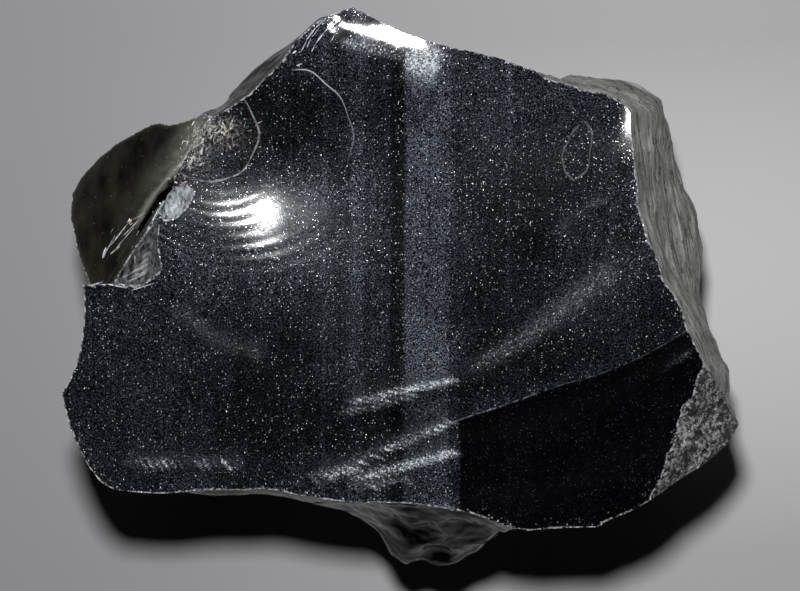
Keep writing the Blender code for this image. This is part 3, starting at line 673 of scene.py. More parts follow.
def bites_cutter(cuts, name, ball, bites, finish):
    """One cutter of separate egg-shaped bites, each with a middle, half sizes and a turn matrix."""
    places, faces = ball
    points, normals, triangles = [], [], []
    for at, half, turn in bites:
        lumps = np.array([1.0 + 0.10 * grain(Vector(place) * 2.0 + Vector(at), 1.0) for place in places])
        turned = np.array(turn)
        points.append((places * lumps[:, None] * half) @ turned.T + at)
        inward = -(places / half) @ turned.T
        normals.append(inward / np.linalg.norm(inward, axis=1)[:, None])
        triangles.append(faces + len(places) * len(triangles))
    data = bpy.data.meshes.new(name)
    data.from_pydata((np.concatenate(points) * MM).tolist(), [], np.concatenate(triangles).tolist())
    set_normals(data, np.concatenate(normals))
    return cuts.add(name, data, finish)


def outline_reach(chip, angle):
    """How far a flake's outline lies from its middle in one direction."""
    middle = Vector(chip["at"][:2])
    far = middle + 100.0 * Vector((math.cos(angle), math.sin(angle)))
    corners = [Vector(corner) for corner in chip["outline"]]
    crossings = (
        geometry.intersect_line_line_2d(middle, far, start, end)
        for start, end in zip(corners, corners[1:] + corners[:1])
    )
    return max((crossing - middle).length for crossing in crossings if crossing)


def leaf_place(chip, unit):
    """Where a point of the unit ball lies on the bowl that knocks a leaf-shaped flake off."""
    out = unit.to_2d()
    reach = outline_reach(chip, math.atan2(out.y, out.x)) / chip["rim"]
    plan = Vector(chip["at"][:2]) + out * reach
    return Vector((plan.x, plan.y, chip["at"][2] + chip["depth"] * unit.z))


def leaf_cutter(cuts, name, chip, finish):
    """A bowl-shaped bite with an outline of its own."""
    mesh = bmesh.new()
    bmesh.ops.create_icosphere(mesh, subdivisions=6, radius=1.0)
    for vert in mesh.verts:
        vert.co = leaf_place(chip, vert.co)
        run = vert.co.y - 0.6 * vert.co.x + 0.4 * grain(vert.co, 1.5)
        vert.co.z += 0.02 * math.cos(math.tau * run / 0.9)
    mesh.normal_update()
    normals = np.array([-vert.normal for vert in mesh.verts])
    bmesh.ops.scale(mesh, vec=(MM, MM, MM), verts=mesh.verts)
    data = new_data(name, mesh)
    set_normals(data, normals)
    cuts.add(name, data, finish)


def chip_cutter(cuts, name, chip):
    cut_name, finish = f"cut_chip_{name}", CHIP_FINISH.get(name, "glass")
    if "outline" in chip:
        leaf_cutter(cuts, cut_name, chip, finish)
        return
    turn = Matrix.Rotation(math.radians(chip["turn"]), 3, "Z")
    bites_cutter(cuts, cut_name, unit_ball(5), [(chip["at"], chip["half"], turn)], finish)


# ---------------------------------------------------------------- the stone


def blank(group):
    """The block before it is broken, standing on z = 0."""
    mesh = bmesh.new()
    bmesh.ops.create_cube(mesh, size=1.0)
    bmesh.ops.scale(mesh, vec=[side * MM for side in BLOCK], verts=mesh.verts)
    bmesh.ops.translate(mesh, vec=(0, 0, BLOCK[2] / 2 * MM), verts=mesh.verts)
    data = new_data("stone", mesh)
    set_normals(data, np.tile((0.0, 0.0, -1.0), len(data.vertices)))
    carry_layers(data, 0)
    stone = bpy.data.objects.new("stone", data)
    group.objects.link(stone)
    return stone


def subtract(stone, cutters, group):
    """Takes every cutter off the stone, in order, and keeps the largest body that is left."""
    for cutter in cutters:
        group.objects.link(cutter)
        step = stone.modifiers.new(cutter.name, "BOOLEAN")
        step.operation = "DIFFERENCE"
        step.solver = "MANIFOLD"
        step.object = cutter
    bpy.context.view_layer.update()
    shaped = stone.evaluated_get(bpy.context.evaluated_depsgraph_get())
    data = bpy.data.meshes.new_from_object(shaped)
    stone.modifiers.clear()
    stone.data = data
    for cutter in cutters:
        bpy.data.objects.remove(cutter, do_unlink=True)
    keep_core(data)


def keep_core(data):
    mesh = bmesh.new()
    mesh.from_mesh(data)
    left = set(mesh.verts)
    bodies = []
    while left:
        body = {left.pop()}
        front = list(body)
        while front:
            linked = {edge.other_vert(vert) for vert in front for edge in vert.link_edges}
            front = list(linked - body)
            body |= linked
        left -= body
        bodies.append(body)
    core = max(bodies, key=len)
    bmesh.ops.delete(mesh, geom=[vert for vert in mesh.verts if vert not in core], context="VERTS")
    mesh.to_mesh(data)
    mesh.free()


def positions(data):
    """The vertices' places in design millimetres."""
    places = np.empty(len(data.vertices) * 3)
    data.vertices.foreach_get("co", places)
    return places.reshape(-1, 3) / MM


def rim_points(data, spacing):
    """Points along every edge where two fractures meet, with the pair's finishes."""
    cut_of = read(data, "cut", np.int32)
    places = positions(data)
    owner = {}
    points = []
    corner_edges = np.empty(len(data.loops), np.int64)
    data.loops.foreach_get("edge_index", corner_edges)
    totals = np.empty(len(data.polygons), np.int64)
    data.polygons.foreach_get("loop_total", totals)
    faces = np.repeat(np.arange(len(data.polygons)), totals)
    for edge, face in zip(corner_edges.tolist(), faces.tolist()):
        cut = cut_of[face]
        other = owner.setdefault(edge, cut)
        if other != cut:
            a, b = (places[index] for index in data.edges[edge].vertices)
            steps = max(int(np.linalg.norm(b - a) / spacing), 1)
            points += [(a + (b - a) * (step / steps), int(other), int(cut)) for step in range(steps)]
    return points


NIBBLES = dict(size=(0.12, 0.34), big=3.0, big_share=0.08, apart=4.0)


def cut_bites(stone, cuts, group, bites, finish, ball):
    """Takes many small bites off, in passes so that the bites of one pass stay apart."""
    passes = []
    for bite in bites:
        at, half, _ = bite
        size = max(half)
        for one in passes:
            if (np.linalg.norm(one["at"] - np.array(at), axis=1) > 1.15 * (one["size"] + size)).all():
                break
        else:
            one = dict(at=np.zeros((0, 3)), size=np.zeros(0), bites=[])
            passes.append(one)
        one["at"] = np.vstack([one["at"], at])
        one["size"] = np.append(one["size"], size)
        one["bites"].append(bite)
    for number, one in enumerate(passes):
        cutter = bites_cutter(cuts, f"cut_{finish}_{number}", ball, one["bites"], finish)
        subtract(stone, [cutter], group)


def main_rims(data, cuts, spacing):
    """The sharp edges of the face and the shoulder, without those of the small breaks."""
    small = set(MARKS) | {"shard"}
    for point, first, second in rim_points(data, spacing):
        pair = {cuts.finishes[first], cuts.finishes[second]}
        if not small & pair and pair & {"face", "shoulder"}:
            yield point, pair


def nibble_rims(stone, cuts, group):
    """Bites tiny flakes out of the face's sharp edges."""
    draw = random.Random(11)
    rims = list(main_rims(stone.data, cuts, 0.3))
    draw.shuffle(rims)
    taken = np.zeros((0, 4))
    bites = []
    for point, finishes in rims:
        if "face" not in finishes or grain(point, 7.0) < 0.0:
            continue
        size = draw.uniform(*NIBBLES["size"])
        if draw.random() < NIBBLES["big_share"]:
            size *= NIBBLES["big"]
        gaps = np.linalg.norm(taken[:, :3] - point, axis=1)
        if (gaps > NIBBLES["apart"] * np.maximum(size, taken[:, 3])).all():
            bites.append(nibble(point, size, draw))
            taken = np.vstack([taken, [*point, size]])
    cut_bites(stone, cuts, group, bites, "nibble", unit_ball(2))


def laid_bite(stone, x, y, half, turn):
    """A bite set into the stone's surface under a place in plan, and laid along that surface."""
    found, spot, normal, _ = stone.ray_cast(Vector((x * MM, y * MM, 1.0)), Vector((0.0, 0.0, -1.0)))
    tilt = Vector((0.0, 0.0, 1.0)).rotation_difference(normal).to_matrix()
    return (spot / MM, half, tilt @ Matrix.Rotation(math.radians(turn), 3, "Z")) if found else None


def mark_stone(stone, cuts, group):
    """The small breaks round the blow and the crest, each set into the surface where it lies."""
    bpy.context.view_layer.update()
    ball = unit_ball(3)
    for finish, marks in MARKS.items():
        bites = [laid_bite(stone, x, y, half, turn) for x, y, *half, turn in marks]
        cut_bites(stone, cuts, group, bites, finish, ball)
    draw = random.Random(5)
    bites = []
    for shards in SHARDS:
        for _ in range(shards["count"]):
            x, y = (draw.gauss(middle, spread) for middle, spread in zip(shards["at"], shards["spread"]))
            long, wide = 0.15 + 1.1 * draw.random() ** 2.5, 0.04 + 0.2 * draw.random() ** 2
            half = (long, wide, draw.uniform(0.08, 0.2))
            bite = laid_bite(stone, x, y, half, shards["turn"] + draw.gauss(0, 30))
            if bite:
                bites.append(bite)
    cut_bites(stone, cuts, group, bites, "shard", unit_ball(1))


def nibble(point, size, draw):
    """A bite just outside a rim, so that it takes off only a thin flake."""
    half = (size * draw.uniform(1.0, 1.9), size * draw.uniform(0.6, 1.0), size * draw.uniform(0.5, 0.9))
    away = Vector((point[0], point[1], 0.0)).normalized()
    away += 0.5 * Vector((draw.uniform(-1, 1), draw.uniform(-1, 1), draw.uniform(-0.6, 0.8)))
    turn = Matrix.Rotation(math.atan2(point[1], point[0]) + math.pi / 2 + draw.uniform(-0.6, 0.6), 3, "Z")
    return Vector(point) + away.normalized() * (size * 0.45), half, turn


def fit_to_cad(stone, low, high):
    """Moves the stone from its design place into the CAD node's box, and returns the shift."""
    places = positions(stone.data) * MM
    own_low, own_high = places.min(axis=0), places.max(axis=0)
    scale = (np.array(high) - np.array(low)) / (own_high - own_low)
    shift = np.array(low) - own_low * scale
    stone.data.vertices.foreach_set("co", (places * scale + shift).ravel())
    stone.data.update()
    return shift / MM, scale


# ---------------------------------------------------------------- painted layers


def line_distance(points, path):
    """How far each point is from a line in plan, with a sign for its side, and how far along."""
    best = np.full(len(points), 1e9)
    side = np.ones(len(points))
    along = np.zeros(len(points))
    done = 0.0
    ends = np.array(path, float)
    total = np.linalg.norm(np.diff(ends, axis=0), axis=1).sum()
    for a, b in zip(ends, ends[1:]):
        run = b - a
        length = np.linalg.norm(run)
        share = np.clip(((points - a) @ run) / length**2, 0.0, 1.0)
        off = points - (a + share[:, None] * run)
        gap = np.hypot(off[:, 0], off[:, 1])
        near = gap < best
        best[near] = gap[near]
        cross = run[0] * (points[:, 1] - a[1]) - run[1] * (points[:, 0] - a[0])
        side[near] = np.sign(cross)[near]
        along[near] = ((done + share * length) / total)[near]
        done += length
    return best * side, along


def smooth(path, count=24):
    """A line through a few points, rounded by the same spline as the fractures."""
    return [tuple(spline(path, step / count)) for step in range(count + 1)]


def painted_streak_light(points):
    """How much painted highlight of the bright streaks, with its painted glow on one side, lies at each point
    of the face.
    """
    light = np.zeros(len(points))
    for _, level, gap, width, along in streak_gaps(points):
        fade = np.clip(along / 0.18, 0, 1) * np.clip((1 - along) / 0.04, 0, 1)
        core = np.exp(-0.5 * (gap / width) ** 2)
        glow = STREAK_PAINTED_GLOW[0] * np.exp(-np.abs(gap) / STREAK_PAINTED_GLOW[1]) * (gap > 0)
        light = np.maximum(light, level * fade * np.maximum(core, glow))
    return light


def loop_distance(points, loop):
    """Distance in millimetres, about, from an oval line."""
    turn = math.radians(loop["turn"])
    off = points - loop["at"]
    along = off[:, 0] * math.cos(turn) + off[:, 1] * math.sin(turn)
    across = off[:, 1] * math.cos(turn) - off[:, 0] * math.sin(turn)
    lumps = 1.0 + 0.10 * np.sin(3.0 * np.arctan2(across, along) + 0.6)
    return (np.hypot(along / loop["half"][0], across / loop["half"][1]) * lumps - 1.0) * min(loop["half"])


def circle_layers(plan, name, at):
    """Distance from a round line that wobbles a little, and the angle about its middle."""
    x, y = plan[:, 0] - at[0], plan[:, 1] - at[1]
    wobble = 0.35 * np.sin(plan[:, 0] * 0.9 + 1.0) * np.cos(plan[:, 1] * 0.7)
    return {f"{name}_line": wobble + np.hypot(x, y) - at[2], f"{name}_turn": np.degrees(np.arctan2(y, x))}


def blobs(points, places, start):
    """Soft patches added together."""
    level = np.full(len(points), start)
    for x, y, wide, tall, strength in places:
        far = ((points[:, 0] - x) / wide) ** 2 + ((points[:, 1] - y) / tall) ** 2
        level += strength * np.exp(-0.5 * far)
    return level


def paint_layers(data, cuts, shift, scale):
    """Layers for the materials: distance to the nearest sharp edge, painted streak highlights, painted sheen
    patches, crushed glass.
    """
    here = positions(data)
    places = (here - shift) / scale
    plan = places[:, :2]
    rims = [point for point, _ in main_rims(data, cuts, 0.25)]
    tree = kdtree.KDTree(len(rims))
    for index, point in enumerate(rims):
        tree.insert(point, index)
    tree.balance()
    crest, crest_run = line_distance(plan, smooth(CREST, 36))
    layers = {
        "edge": np.array([min(tree.find(place)[2], 30.0) for place in here]),
        "streak": painted_streak_light(plan),
        "painted_sheen_level": np.maximum(blobs(plan, PAINTED_SHEEN_PATCHES, 0.83), 0.16),
        "crushed": np.clip(blobs(plan, CRUSHED, 0.0), 0, 1) * (places[:, 2] > 36.0),
        "ripple_line": line_distance(plan, smooth(LAST_RIPPLE, 48))[0],
        "crest": crest,
        "crest_run": crest_run,
        "fibre": loop_distance(plan, FIBRE),
        **circle_layers(plan, "scar", FLAKE_SCAR),
        **circle_layers(plan, "blow", BLOW_RING),
    }
    for name, values in layers.items():
        layer = data.attributes.new(name, "FLOAT", "POINT")
        layer.data.foreach_set("value", values.astype(np.float32))


def shade_true(data, cuts, materials):
    """Gives each face its finish and each corner the normal of the sheet it was cut by."""
    cut_of = read(data, "cut", np.int32)
    slots = sorted(set(cuts.finishes))
    data.materials.clear()
    for name in slots:
        data.materials.append(materials[name])
    data.polygons.foreach_set("material_index", np.array([slots.index(cuts.finishes[cut]) for cut in cut_of]))
    data.polygons.foreach_set("use_smooth", np.ones(len(data.polygons), bool))
    normals = read(data, "sheet_normal", np.float32, 3)
    lengths = np.linalg.norm(normals, axis=1)
    totals = np.empty(len(data.polygons), np.int64)
    data.polygons.foreach_get("loop_total", totals)
    face_normals = np.empty(len(data.polygons) * 3, np.float32)
    data.polygons.foreach_get("normal", face_normals)
    face_normals = np.repeat(face_normals.reshape(-1, 3), totals, axis=0)
    shards = [number for number, finish in enumerate(cuts.finishes) if finish == "shard"]
    flat = np.repeat(np.isin(cut_of, shards), totals) | (lengths < 0.05)
    flat |= (normals * face_normals).sum(axis=1) < 0.2 * lengths
    normals[flat] = face_normals[flat]
    normals /= np.linalg.norm(normals, axis=1)[:, None]
    data.normals_split_custom_set(normals.tolist())


# ---------------------------------------------------------------- node helpers


class Paint:
    """A node material with short calls for the nodes used here."""

    def __init__(self, name):
        self.material = bpy.data.materials.new(name)
        self.material.use_nodes = True
        self.tree = self.material.node_tree
        self.shader = self.tree.nodes["Principled BSDF"]
        place = self.add("ShaderNodeTexCoord")
        scaled = self.add("ShaderNodeVectorMath", operation="SCALE")
        self.tree.links.new(place.outputs["Object"], scaled.inputs[0])
        scaled.inputs["Scale"].default_value = 1.0 / MM
        self.place = scaled.outputs[0]

    def add(self, kind, **settings):
        made = self.tree.nodes.new(kind)
        for key, value in settings.items():
            setattr(made, key, value)
        return made

    def feed(self, socket, value):
        if isinstance(value, bpy.types.NodeSocket):
            self.tree.links.new(value, socket)
        elif isinstance(value, tuple) and len(value) == 3 and socket.type == "RGBA":
            socket.default_value = (*value, 1.0)
        else:
            socket.default_value = value

    def math(self, operation, *values, clamp=False):
        made = self.add("ShaderNodeMath", operation=operation, use_clamp=clamp)
        for socket, value in zip(made.inputs, values):
            self.feed(socket, value)
        return made.outputs[0]

    def times(self, value, *more, clamp=False):
        """Multiplies in turn, and clamps only the last product."""
        for number, other in enumerate(more, 1):
            value = self.math("MULTIPLY", value, other, clamp=clamp and number == len(more))
        return value

    def remap(self, value, low, high, to_low=0.0, to_high=1.0, smooth_run=False):
        made = self.add("ShaderNodeMapRange")
        made.interpolation_type = "SMOOTHSTEP" if smooth_run else "LINEAR"
        for socket, given in zip(made.inputs, (value, low, high, to_low, to_high)):
            self.feed(socket, given)
        return made.outputs[0]

    def mix(self, share, first, second):
        made = self.add("ShaderNodeMix", data_type="RGBA")
        self.feed(made.inputs["Factor"], share)
        self.feed(made.inputs[6], first)
        self.feed(made.inputs[7], second)
        return made.outputs[2]

    def layer(self, name):
        return self.add("ShaderNodeAttribute", attribute_name=name).outputs["Fac"]

    def near(self, name, inner, outer, most, smooth_run=False):
        """A layer's line: most as far out as inner, and nothing from outer on."""
        return self.remap(self.math("ABSOLUTE", self.layer(name)), inner, outer, most, 0.0, smooth_run)

    def axes(self):
        """The place in millimetres as separate X, Y and Z."""
        parts = self.add("ShaderNodeSeparateXYZ")
        self.feed(parts.inputs[0], self.place)
        return tuple(parts.outputs)

    def stretched(self, x, y, z):
        made = self.add("ShaderNodeVectorMath", operation="MULTIPLY")
        self.feed(made.inputs[0], self.place)
        made.inputs[1].default_value = (x, y, z)
        return made.outputs[0]

    def noise(self, scale, detail=2.0, vector=None, rough=0.5):
        made = self.add("ShaderNodeTexNoise")
        self.feed(made.inputs["Vector"], vector or self.place)
        made.inputs["Scale"].default_value = scale
        made.inputs["Detail"].default_value = detail
        made.inputs["Roughness"].default_value = rough
        return made.outputs["Fac"]

    def specks(self, every, size, share, sharp=0.5):
        """Dots about a given distance apart in millimetres, of which only a share shows."""
        made = self.add("ShaderNodeTexVoronoi")
        self.feed(made.inputs["Vector"], self.place)
        made.inputs["Scale"].default_value = 1.0 / every
        dot = self.remap(made.outputs["Distance"], size * sharp / every, size / every, 1.0, 0.0)
        parts = self.add("ShaderNodeSeparateColor")
        self.feed(parts.inputs[0], made.outputs["Color"])
        shown = self.math("LESS_THAN", parts.outputs[0], share)
        level = self.remap(parts.outputs[1], 0.0, 1.0, 0.2, 1.0)
        return self.times(dot, shown, self.math("POWER", level, 3.0))

    def bump(self, height, depth, strength=1.0):
        """A bump whose height is given in millimetres."""
        made = self.add("ShaderNodeBump")
        made.inputs["Strength"].default_value = strength
        made.inputs["Distance"].default_value = depth * MM
        self.feed(made.inputs["Height"], height)
        self.feed(self.shader.inputs["Normal"], made.outputs[0])

    def finish(self, colour, roughness, ior=1.5):
        self.feed(self.shader.inputs["Base Color"], colour)
        self.feed(self.shader.inputs["Roughness"], roughness)
        self.shader.inputs["Metallic"].default_value = 0.0
        self.shader.inputs["IOR"].default_value = ior
        return self.material


# ---------------------------------------------------------------- materials

CLEAR_BLACK = (0.0008, 0.0008, 0.0011)
# Grey of the face's sheen, partly the glass's own inclusions and partly painted reflection; also the grey of
# the flanks' faint flow lines.
SHEEN_GREY = (0.165, 0.18, 0.235)
# Blue-white of the painted highlights along the streaks and the last ripple.
STREAK_HIGHLIGHT_BLUE = (0.50, 0.56, 0.64)
CRUSHED_WHITE = (0.55, 0.53, 0.48)
SMOKY_EDGE = (0.085, 0.080, 0.062)
SPECK_WHITE = (0.85, 0.87, 0.92)
CREST_GREY = (0.30, 0.31, 0.27)
# White of the painted highlights along the sharp edges and of the painted glints in the streaks.
HIGHLIGHT_WHITE = (0.80, 0.82, 0.86)
FLANK_IOR = 1.36
SMOKY_RUN = 3.2  # millimetres from an edge that show smoky


def flow_bands(paint, shift_x):
    """The flow bands as one value, crisp across X and long down Y."""
    x, y, _ = paint.axes()
    wobble = paint.math("MULTIPLY_ADD", paint.noise(0.06, 1.0), 0.5, -0.25 - shift_x)
    across = paint.math("ADD", paint.math("ADD", x, paint.times(y, BAND_TILT)), wobble)
    ramp = paint.add("ShaderNodeValToRGB")
    first, last = FLOW_BANDS[0][0], FLOW_BANDS[-1][0]
    stops = ramp.color_ramp.elements
    for number, (at, level) in enumerate(FLOW_BANDS):
        where = (at - first) / (last - first)
        stop = stops[number] if number < 2 else stops.new(where)
        stop.position = where
        stop.color = (level, level, level, 1.0)
    paint.feed(ramp.inputs[0], paint.remap(across, first, last))
    grain_lines = paint.remap(paint.noise(1.0, 3.0, paint.stretched(1.6, 0.03, 0.03)), 0.3, 0.7, 0.72, 1.25)
    return paint.times(ramp.outputs[0], grain_lines)


def face_material(shift):
    """Black glass with flow bands, a painted sparkling sheen, painted highlights along streaks and fine
    lines, and fine dust partly painted as glints.
    """
    paint = Paint("obsidian_face")
    x, _, _ = paint.axes()
    bands = flow_bands(paint, shift[0])
    below = paint.remap(paint.layer("ripple_line"), -0.4, 0.5, 0.0, 1.0, True)
    clear = paint.math("MAXIMUM", below, paint.remap(x, 7.7, 8.2, 1.0, 0.0))

    # The haze paints the face's sheen: the flow bands' own grey, times the painted sheen patches, with
    # painted glitter in it.
    mottled = paint.remap(paint.noise(0.16, 4.0, rough=0.6), 0.25, 0.75, 0.40, 1.6)
    cleared = paint.remap(clear, 0.0, 1.0, 0.05, 1.0)
    painted_glitter = paint.remap(paint.noise(4.3, 2.0, rough=0.9), 0.47, 0.66, 0.0, 2.0)
    haze = paint.times(bands, paint.layer("painted_sheen_level"), mottled, cleared, painted_glitter, clamp=True)
    colour = paint.mix(haze, CLEAR_BLACK, SHEEN_GREY)

    # Painted highlight along the streaks, broken up into sparkles.
    sparks = paint.remap(paint.noise(4.0, 3.0, paint.stretched(0.6, 1.5, 1.0), 0.9), 0.47, 0.58, 0.0, 2.4)
    banded = paint.remap(bands, 0.2, 1.0, 0.5, 1.1)
    cleared = paint.remap(clear, 0.0, 1.0, 0.35, 1.0)
    streak = paint.times(paint.layer("streak"), sparks, banded, cleared, 0.7, clamp=True)
    colour = paint.mix(streak, colour, STREAK_HIGHLIGHT_BLUE)
    # Painted glints: white specks, dense and bright where the painted streaks are.
    points = paint.math("MAXIMUM", paint.specks(0.24, 0.15, 0.6), paint.specks(0.5, 0.17, 0.4))
    strength = paint.math("POWER", paint.layer("streak"), 1.6)
    points = paint.times(strength, points, 11.0, clamp=True)
    points = paint.times(points, paint.remap(clear, 0.0, 1.0, 0.4, 1.0))
    colour = paint.mix(points, colour, HIGHLIGHT_WHITE)

    # A thin painted highlight along the last strong ripple, on the right of the face.
    shown = paint.times(paint.remap(x, 5.0, 9.0), paint.remap(paint.noise(1.6, 3.0), 0.40, 0.62, 0.0, 1.0))
    fading = paint.remap(x, 14.0, 24.0, 1.0, 0.35)
    line = paint.times(paint.near("ripple_line", 0.03, 0.14, 0.40), shown, fading)
    colour = paint.mix(line, colour, STREAK_HIGHLIGHT_BLUE)

    # A thin painted highlight along the lip of the round scar.
    turned = paint.layer("scar_turn")
    ends = paint.times(paint.remap(turned, -32.0, 0.0), paint.remap(turned, 72.0, 82.0, 1.0, 0.0))
    fading = paint.remap(turned, 20.0, 45.0, 0.25, 1.0)
    arc = paint.times(paint.near("scar_line", 0.03, 0.14, 0.6), fading, ends)
    colour = paint.mix(arc, colour, SPECK_WHITE)

    turned = paint.layer("blow_turn")
    ends = paint.times(paint.remap(turned, -140.0, -110.0), paint.remap(turned, 30.0, 50.0, 1.0, 0.0))
    broken = paint.remap(paint.noise(0.9, 3.0), 0.35, 0.65, 0.1, 1.0)
    arc = paint.times(paint.near("blow_line", 0.04, 0.18, 0.42), ends, broken)
    colour = paint.mix(arc, colour, SPECK_WHITE)

    broken = paint.remap(paint.noise(0.3, 2.0), 0.38, 0.50)
    colour = paint.mix(paint.times(paint.near("fibre", 0.03, 0.12, 0.13), broken), colour, SPECK_WHITE)

    # Fine dust specks lit up as painted glints: brighter where the painted sheen and streaks are, and along
    # the sharp edges, where more specks are added.
    dust = paint.math("MAXIMUM", paint.specks(0.34, 0.10, 0.60), paint.specks(0.85, 0.13, 0.7))
    dust = paint.times(dust, paint.remap(clear, 0.0, 1.0, 0.16, 1.0))
    glint_level = paint.math("ADD", paint.math("ADD", haze, paint.layer("streak")), 0.45, clamp=True)
    edge_glints = paint.remap(paint.layer("edge"), 0.0, 1.8, 1.0, 0.0)
    glint_level = paint.math("MAXIMUM", glint_level, edge_glints)
    dust = paint.math("MAXIMUM", dust, paint.times(edge_glints, paint.specks(0.45, 0.17, 0.30)))
    colour = crushed_glass_and_edge_highlight(paint, paint.mix(paint.times(dust, glint_level), colour, SPECK_WHITE))
    paint.bump(paint.math("ADD", dust, paint.times(paint.noise(1.4, 3.0), 0.25)), 0.022, 0.7)
    return paint.finish(colour, paint.remap(dust, 0, 1, 0.07, 0.25))


def crushed_glass_and_edge_highlight(paint, colour):
    """Crushed white glass, and a painted highlight: a thin bright line along every sharp edge, broken up by
    noise.
    """
    broken = paint.remap(paint.noise(2.2, 4.0, rough=0.8), 0.48, 0.62)
    crushed = paint.times(paint.layer("crushed"), broken)
    colour = paint.mix(crushed, colour, CRUSHED_WHITE)
    # Painted highlight: a thin bright line along each sharp edge, broken up by noise.
    highlight_breaks = paint.remap(paint.noise(1.1, 3.0, rough=0.8), 0.44, 0.62)
    rim = paint.times(paint.remap(paint.layer("edge"), 0.03, 0.22, 1.0, 0.0), highlight_breaks)
    return paint.mix(rim, colour, HIGHLIGHT_WHITE)


def crest_light(paint, colour):
    """The light, partly see-through crest beside the shoulder."""
    width = paint.remap(paint.noise(0.55, 3.0), 0.3, 0.7, 0.3, 1.0)
    near = paint.math("ABSOLUTE", paint.layer("crest"))
    share = paint.math("SUBTRACT", 1.0, paint.math("DIVIDE", near, width), clamp=True)
    inside = paint.remap(paint.layer("crest_run"), 0.90, 1.0, 1.0, 0.0)
    return paint.mix(paint.times(share, inside, 0.8), colour, CREST_GREY)


def flank_material(name, smoky, haze):
    """Black glass of the flanks: smoky where it is thin near an edge, with faint flow lines."""
    paint = Paint(name)
    lines = paint.remap(paint.noise(0.5, 3.0, paint.stretched(1.2, 0.08, 0.08)), 0.35, 0.7, 0.0, haze)
    colour = paint.mix(lines, CLEAR_BLACK, SHEEN_GREY)
    thin = paint.remap(paint.layer("edge"), 0.0, SMOKY_RUN, smoky, 0.0, True)
    thin = paint.times(thin, paint.remap(paint.noise(0.35, 2.0), 0.3, 0.7, 0.2, 1.0))
    colour = paint.mix(thin, colour, SMOKY_EDGE)
    dust = paint.specks(0.55, 0.11, 0.35)
    colour = paint.mix(paint.times(dust, 0.12), colour, SPECK_WHITE)
    colour = crushed_glass_and_edge_highlight(paint, crest_light(paint, colour))
    paint.bump(paint.noise(0.18, 2.0), 1.2, 0.9)
    return paint.finish(colour, paint.remap(dust, 0, 1, 0.12, 0.4), FLANK_IOR)


def shoulder_material():
    """Black glass of the shoulder, thin enough to be olive grey near its top."""
    paint = Paint("obsidian_shoulder")
    lines = paint.remap(paint.noise(0.5, 3.0, paint.stretched(1.2, 0.5, 0.08)), 0.3, 0.7, 0.08, 0.34)
    colour = paint.mix(lines, CLEAR_BLACK, SMOKY_EDGE)
    top = paint.remap(paint.layer("crest_run"), 0.25, 0.75, 1.0, 0.12)
    clouds = paint.remap(paint.noise(0.5, 3.0), 0.3, 0.7, 0.35, 1.0)
    olive = paint.times(paint.near("crest", 0.6, 5.0, 0.75, True), top, clouds)
    colour = paint.mix(olive, colour, CREST_GREY)
    edge = paint.remap(paint.layer("edge"), 0.0, 0.9, 0.45, 0.0, True)
    colour = paint.mix(edge, colour, SMOKY_EDGE)
    dust = paint.specks(0.5, 0.11, 0.35)
    colour = paint.mix(paint.times(dust, 0.25), colour, SPECK_WHITE)
    colour = crushed_glass_and_edge_highlight(paint, crest_light(paint, colour))
    paint.bump(paint.noise(1.1, 3.0), 0.012, 0.6)
    return paint.finish(colour, paint.remap(dust, 0, 1, 0.09, 0.4))


def chip_material(name, base, bright, fine=1.6, roughness=0.28):
    """Fresh little flake scars: pale, streaked across."""
    paint = Paint(name)
    fan = paint.remap(paint.noise(fine, 4.0, paint.stretched(1.0, 0.35, 1.0), 0.7), 0.38, 0.62)
    colour = paint.mix(fan, base, bright)
    colour = crushed_glass_and_edge_highlight(paint, colour)
    paint.bump(paint.noise(2.2, 3.0), 0.05, 0.7)
    return paint.finish(colour, roughness)


def cortex_material():
    """Weathered skin: brownish grey, striped along the break, pitted."""
    paint = Paint("weathered_skin")
    _, y, _ = paint.axes()
    along = paint.add("ShaderNodeCombineXYZ")
    paint.feed(along.inputs[0], paint.times(paint.layer("edge"), 1.5))
    paint.feed(along.inputs[1], paint.times(y, 0.06))
    stripes = paint.noise(1.2, 6.0, along.outputs[0], 0.75)
    pits = paint.noise(3.4, 4.0, rough=0.75)
    colour = paint.mix(paint.remap(stripes, 0.40, 0.60), (0.06, 0.06, 0.056), (0.90, 0.885, 0.84))
    colour = paint.mix(paint.remap(pits, 0.52, 0.64, 0.0, 0.75), colour, (0.80, 0.79, 0.76))
    dark = paint.remap(paint.noise(0.8, 6.0, paint.stretched(1.2, 0.5, 0.8), 0.75), 0.54, 0.62, 0.0, 0.75)
    colour = paint.mix(dark, colour, (0.014, 0.014, 0.015))
    patches = paint.remap(paint.noise(0.25, 4.0), 0.42, 0.60, 0.0, 0.40)
    colour = paint.mix(patches, colour, (0.05, 0.05, 0.046))
    edge = paint.remap(paint.layer("edge"), 0.05, 0.7, 0.8, 0.0, True)
    colour = paint.mix(edge, colour, (0.75, 0.74, 0.72))
    relief = paint.math("ADD", stripes, paint.times(pits, 0.7))
    paint.bump(relief, 0.45, 1.0)
    return paint.finish(colour, 0.62)


def rough_material():
    """Sugary broken stone: grey grains, black glass and white sparks."""
    paint = Paint("sugary_break")
    grains = paint.noise(1.6, 5.0, rough=0.85)
    colour = paint.mix(paint.remap(grains, 0.46, 0.56), (0.006, 0.006, 0.007), (0.70, 0.70, 0.71))
    patches = paint.remap(paint.noise(0.5, 4.0, rough=0.75), 0.42, 0.54, 0.92, 0.0)
    colour = paint.mix(patches, colour, (0.008, 0.008, 0.009))
    colour = paint.mix(paint.specks(0.45, 0.16, 0.35), colour, (0.95, 0.95, 0.95))
    paint.bump(paint.math("ADD", grains, paint.noise(1.2, 3.0)), 0.35, 1.0)
    return paint.finish(colour, 0.38)


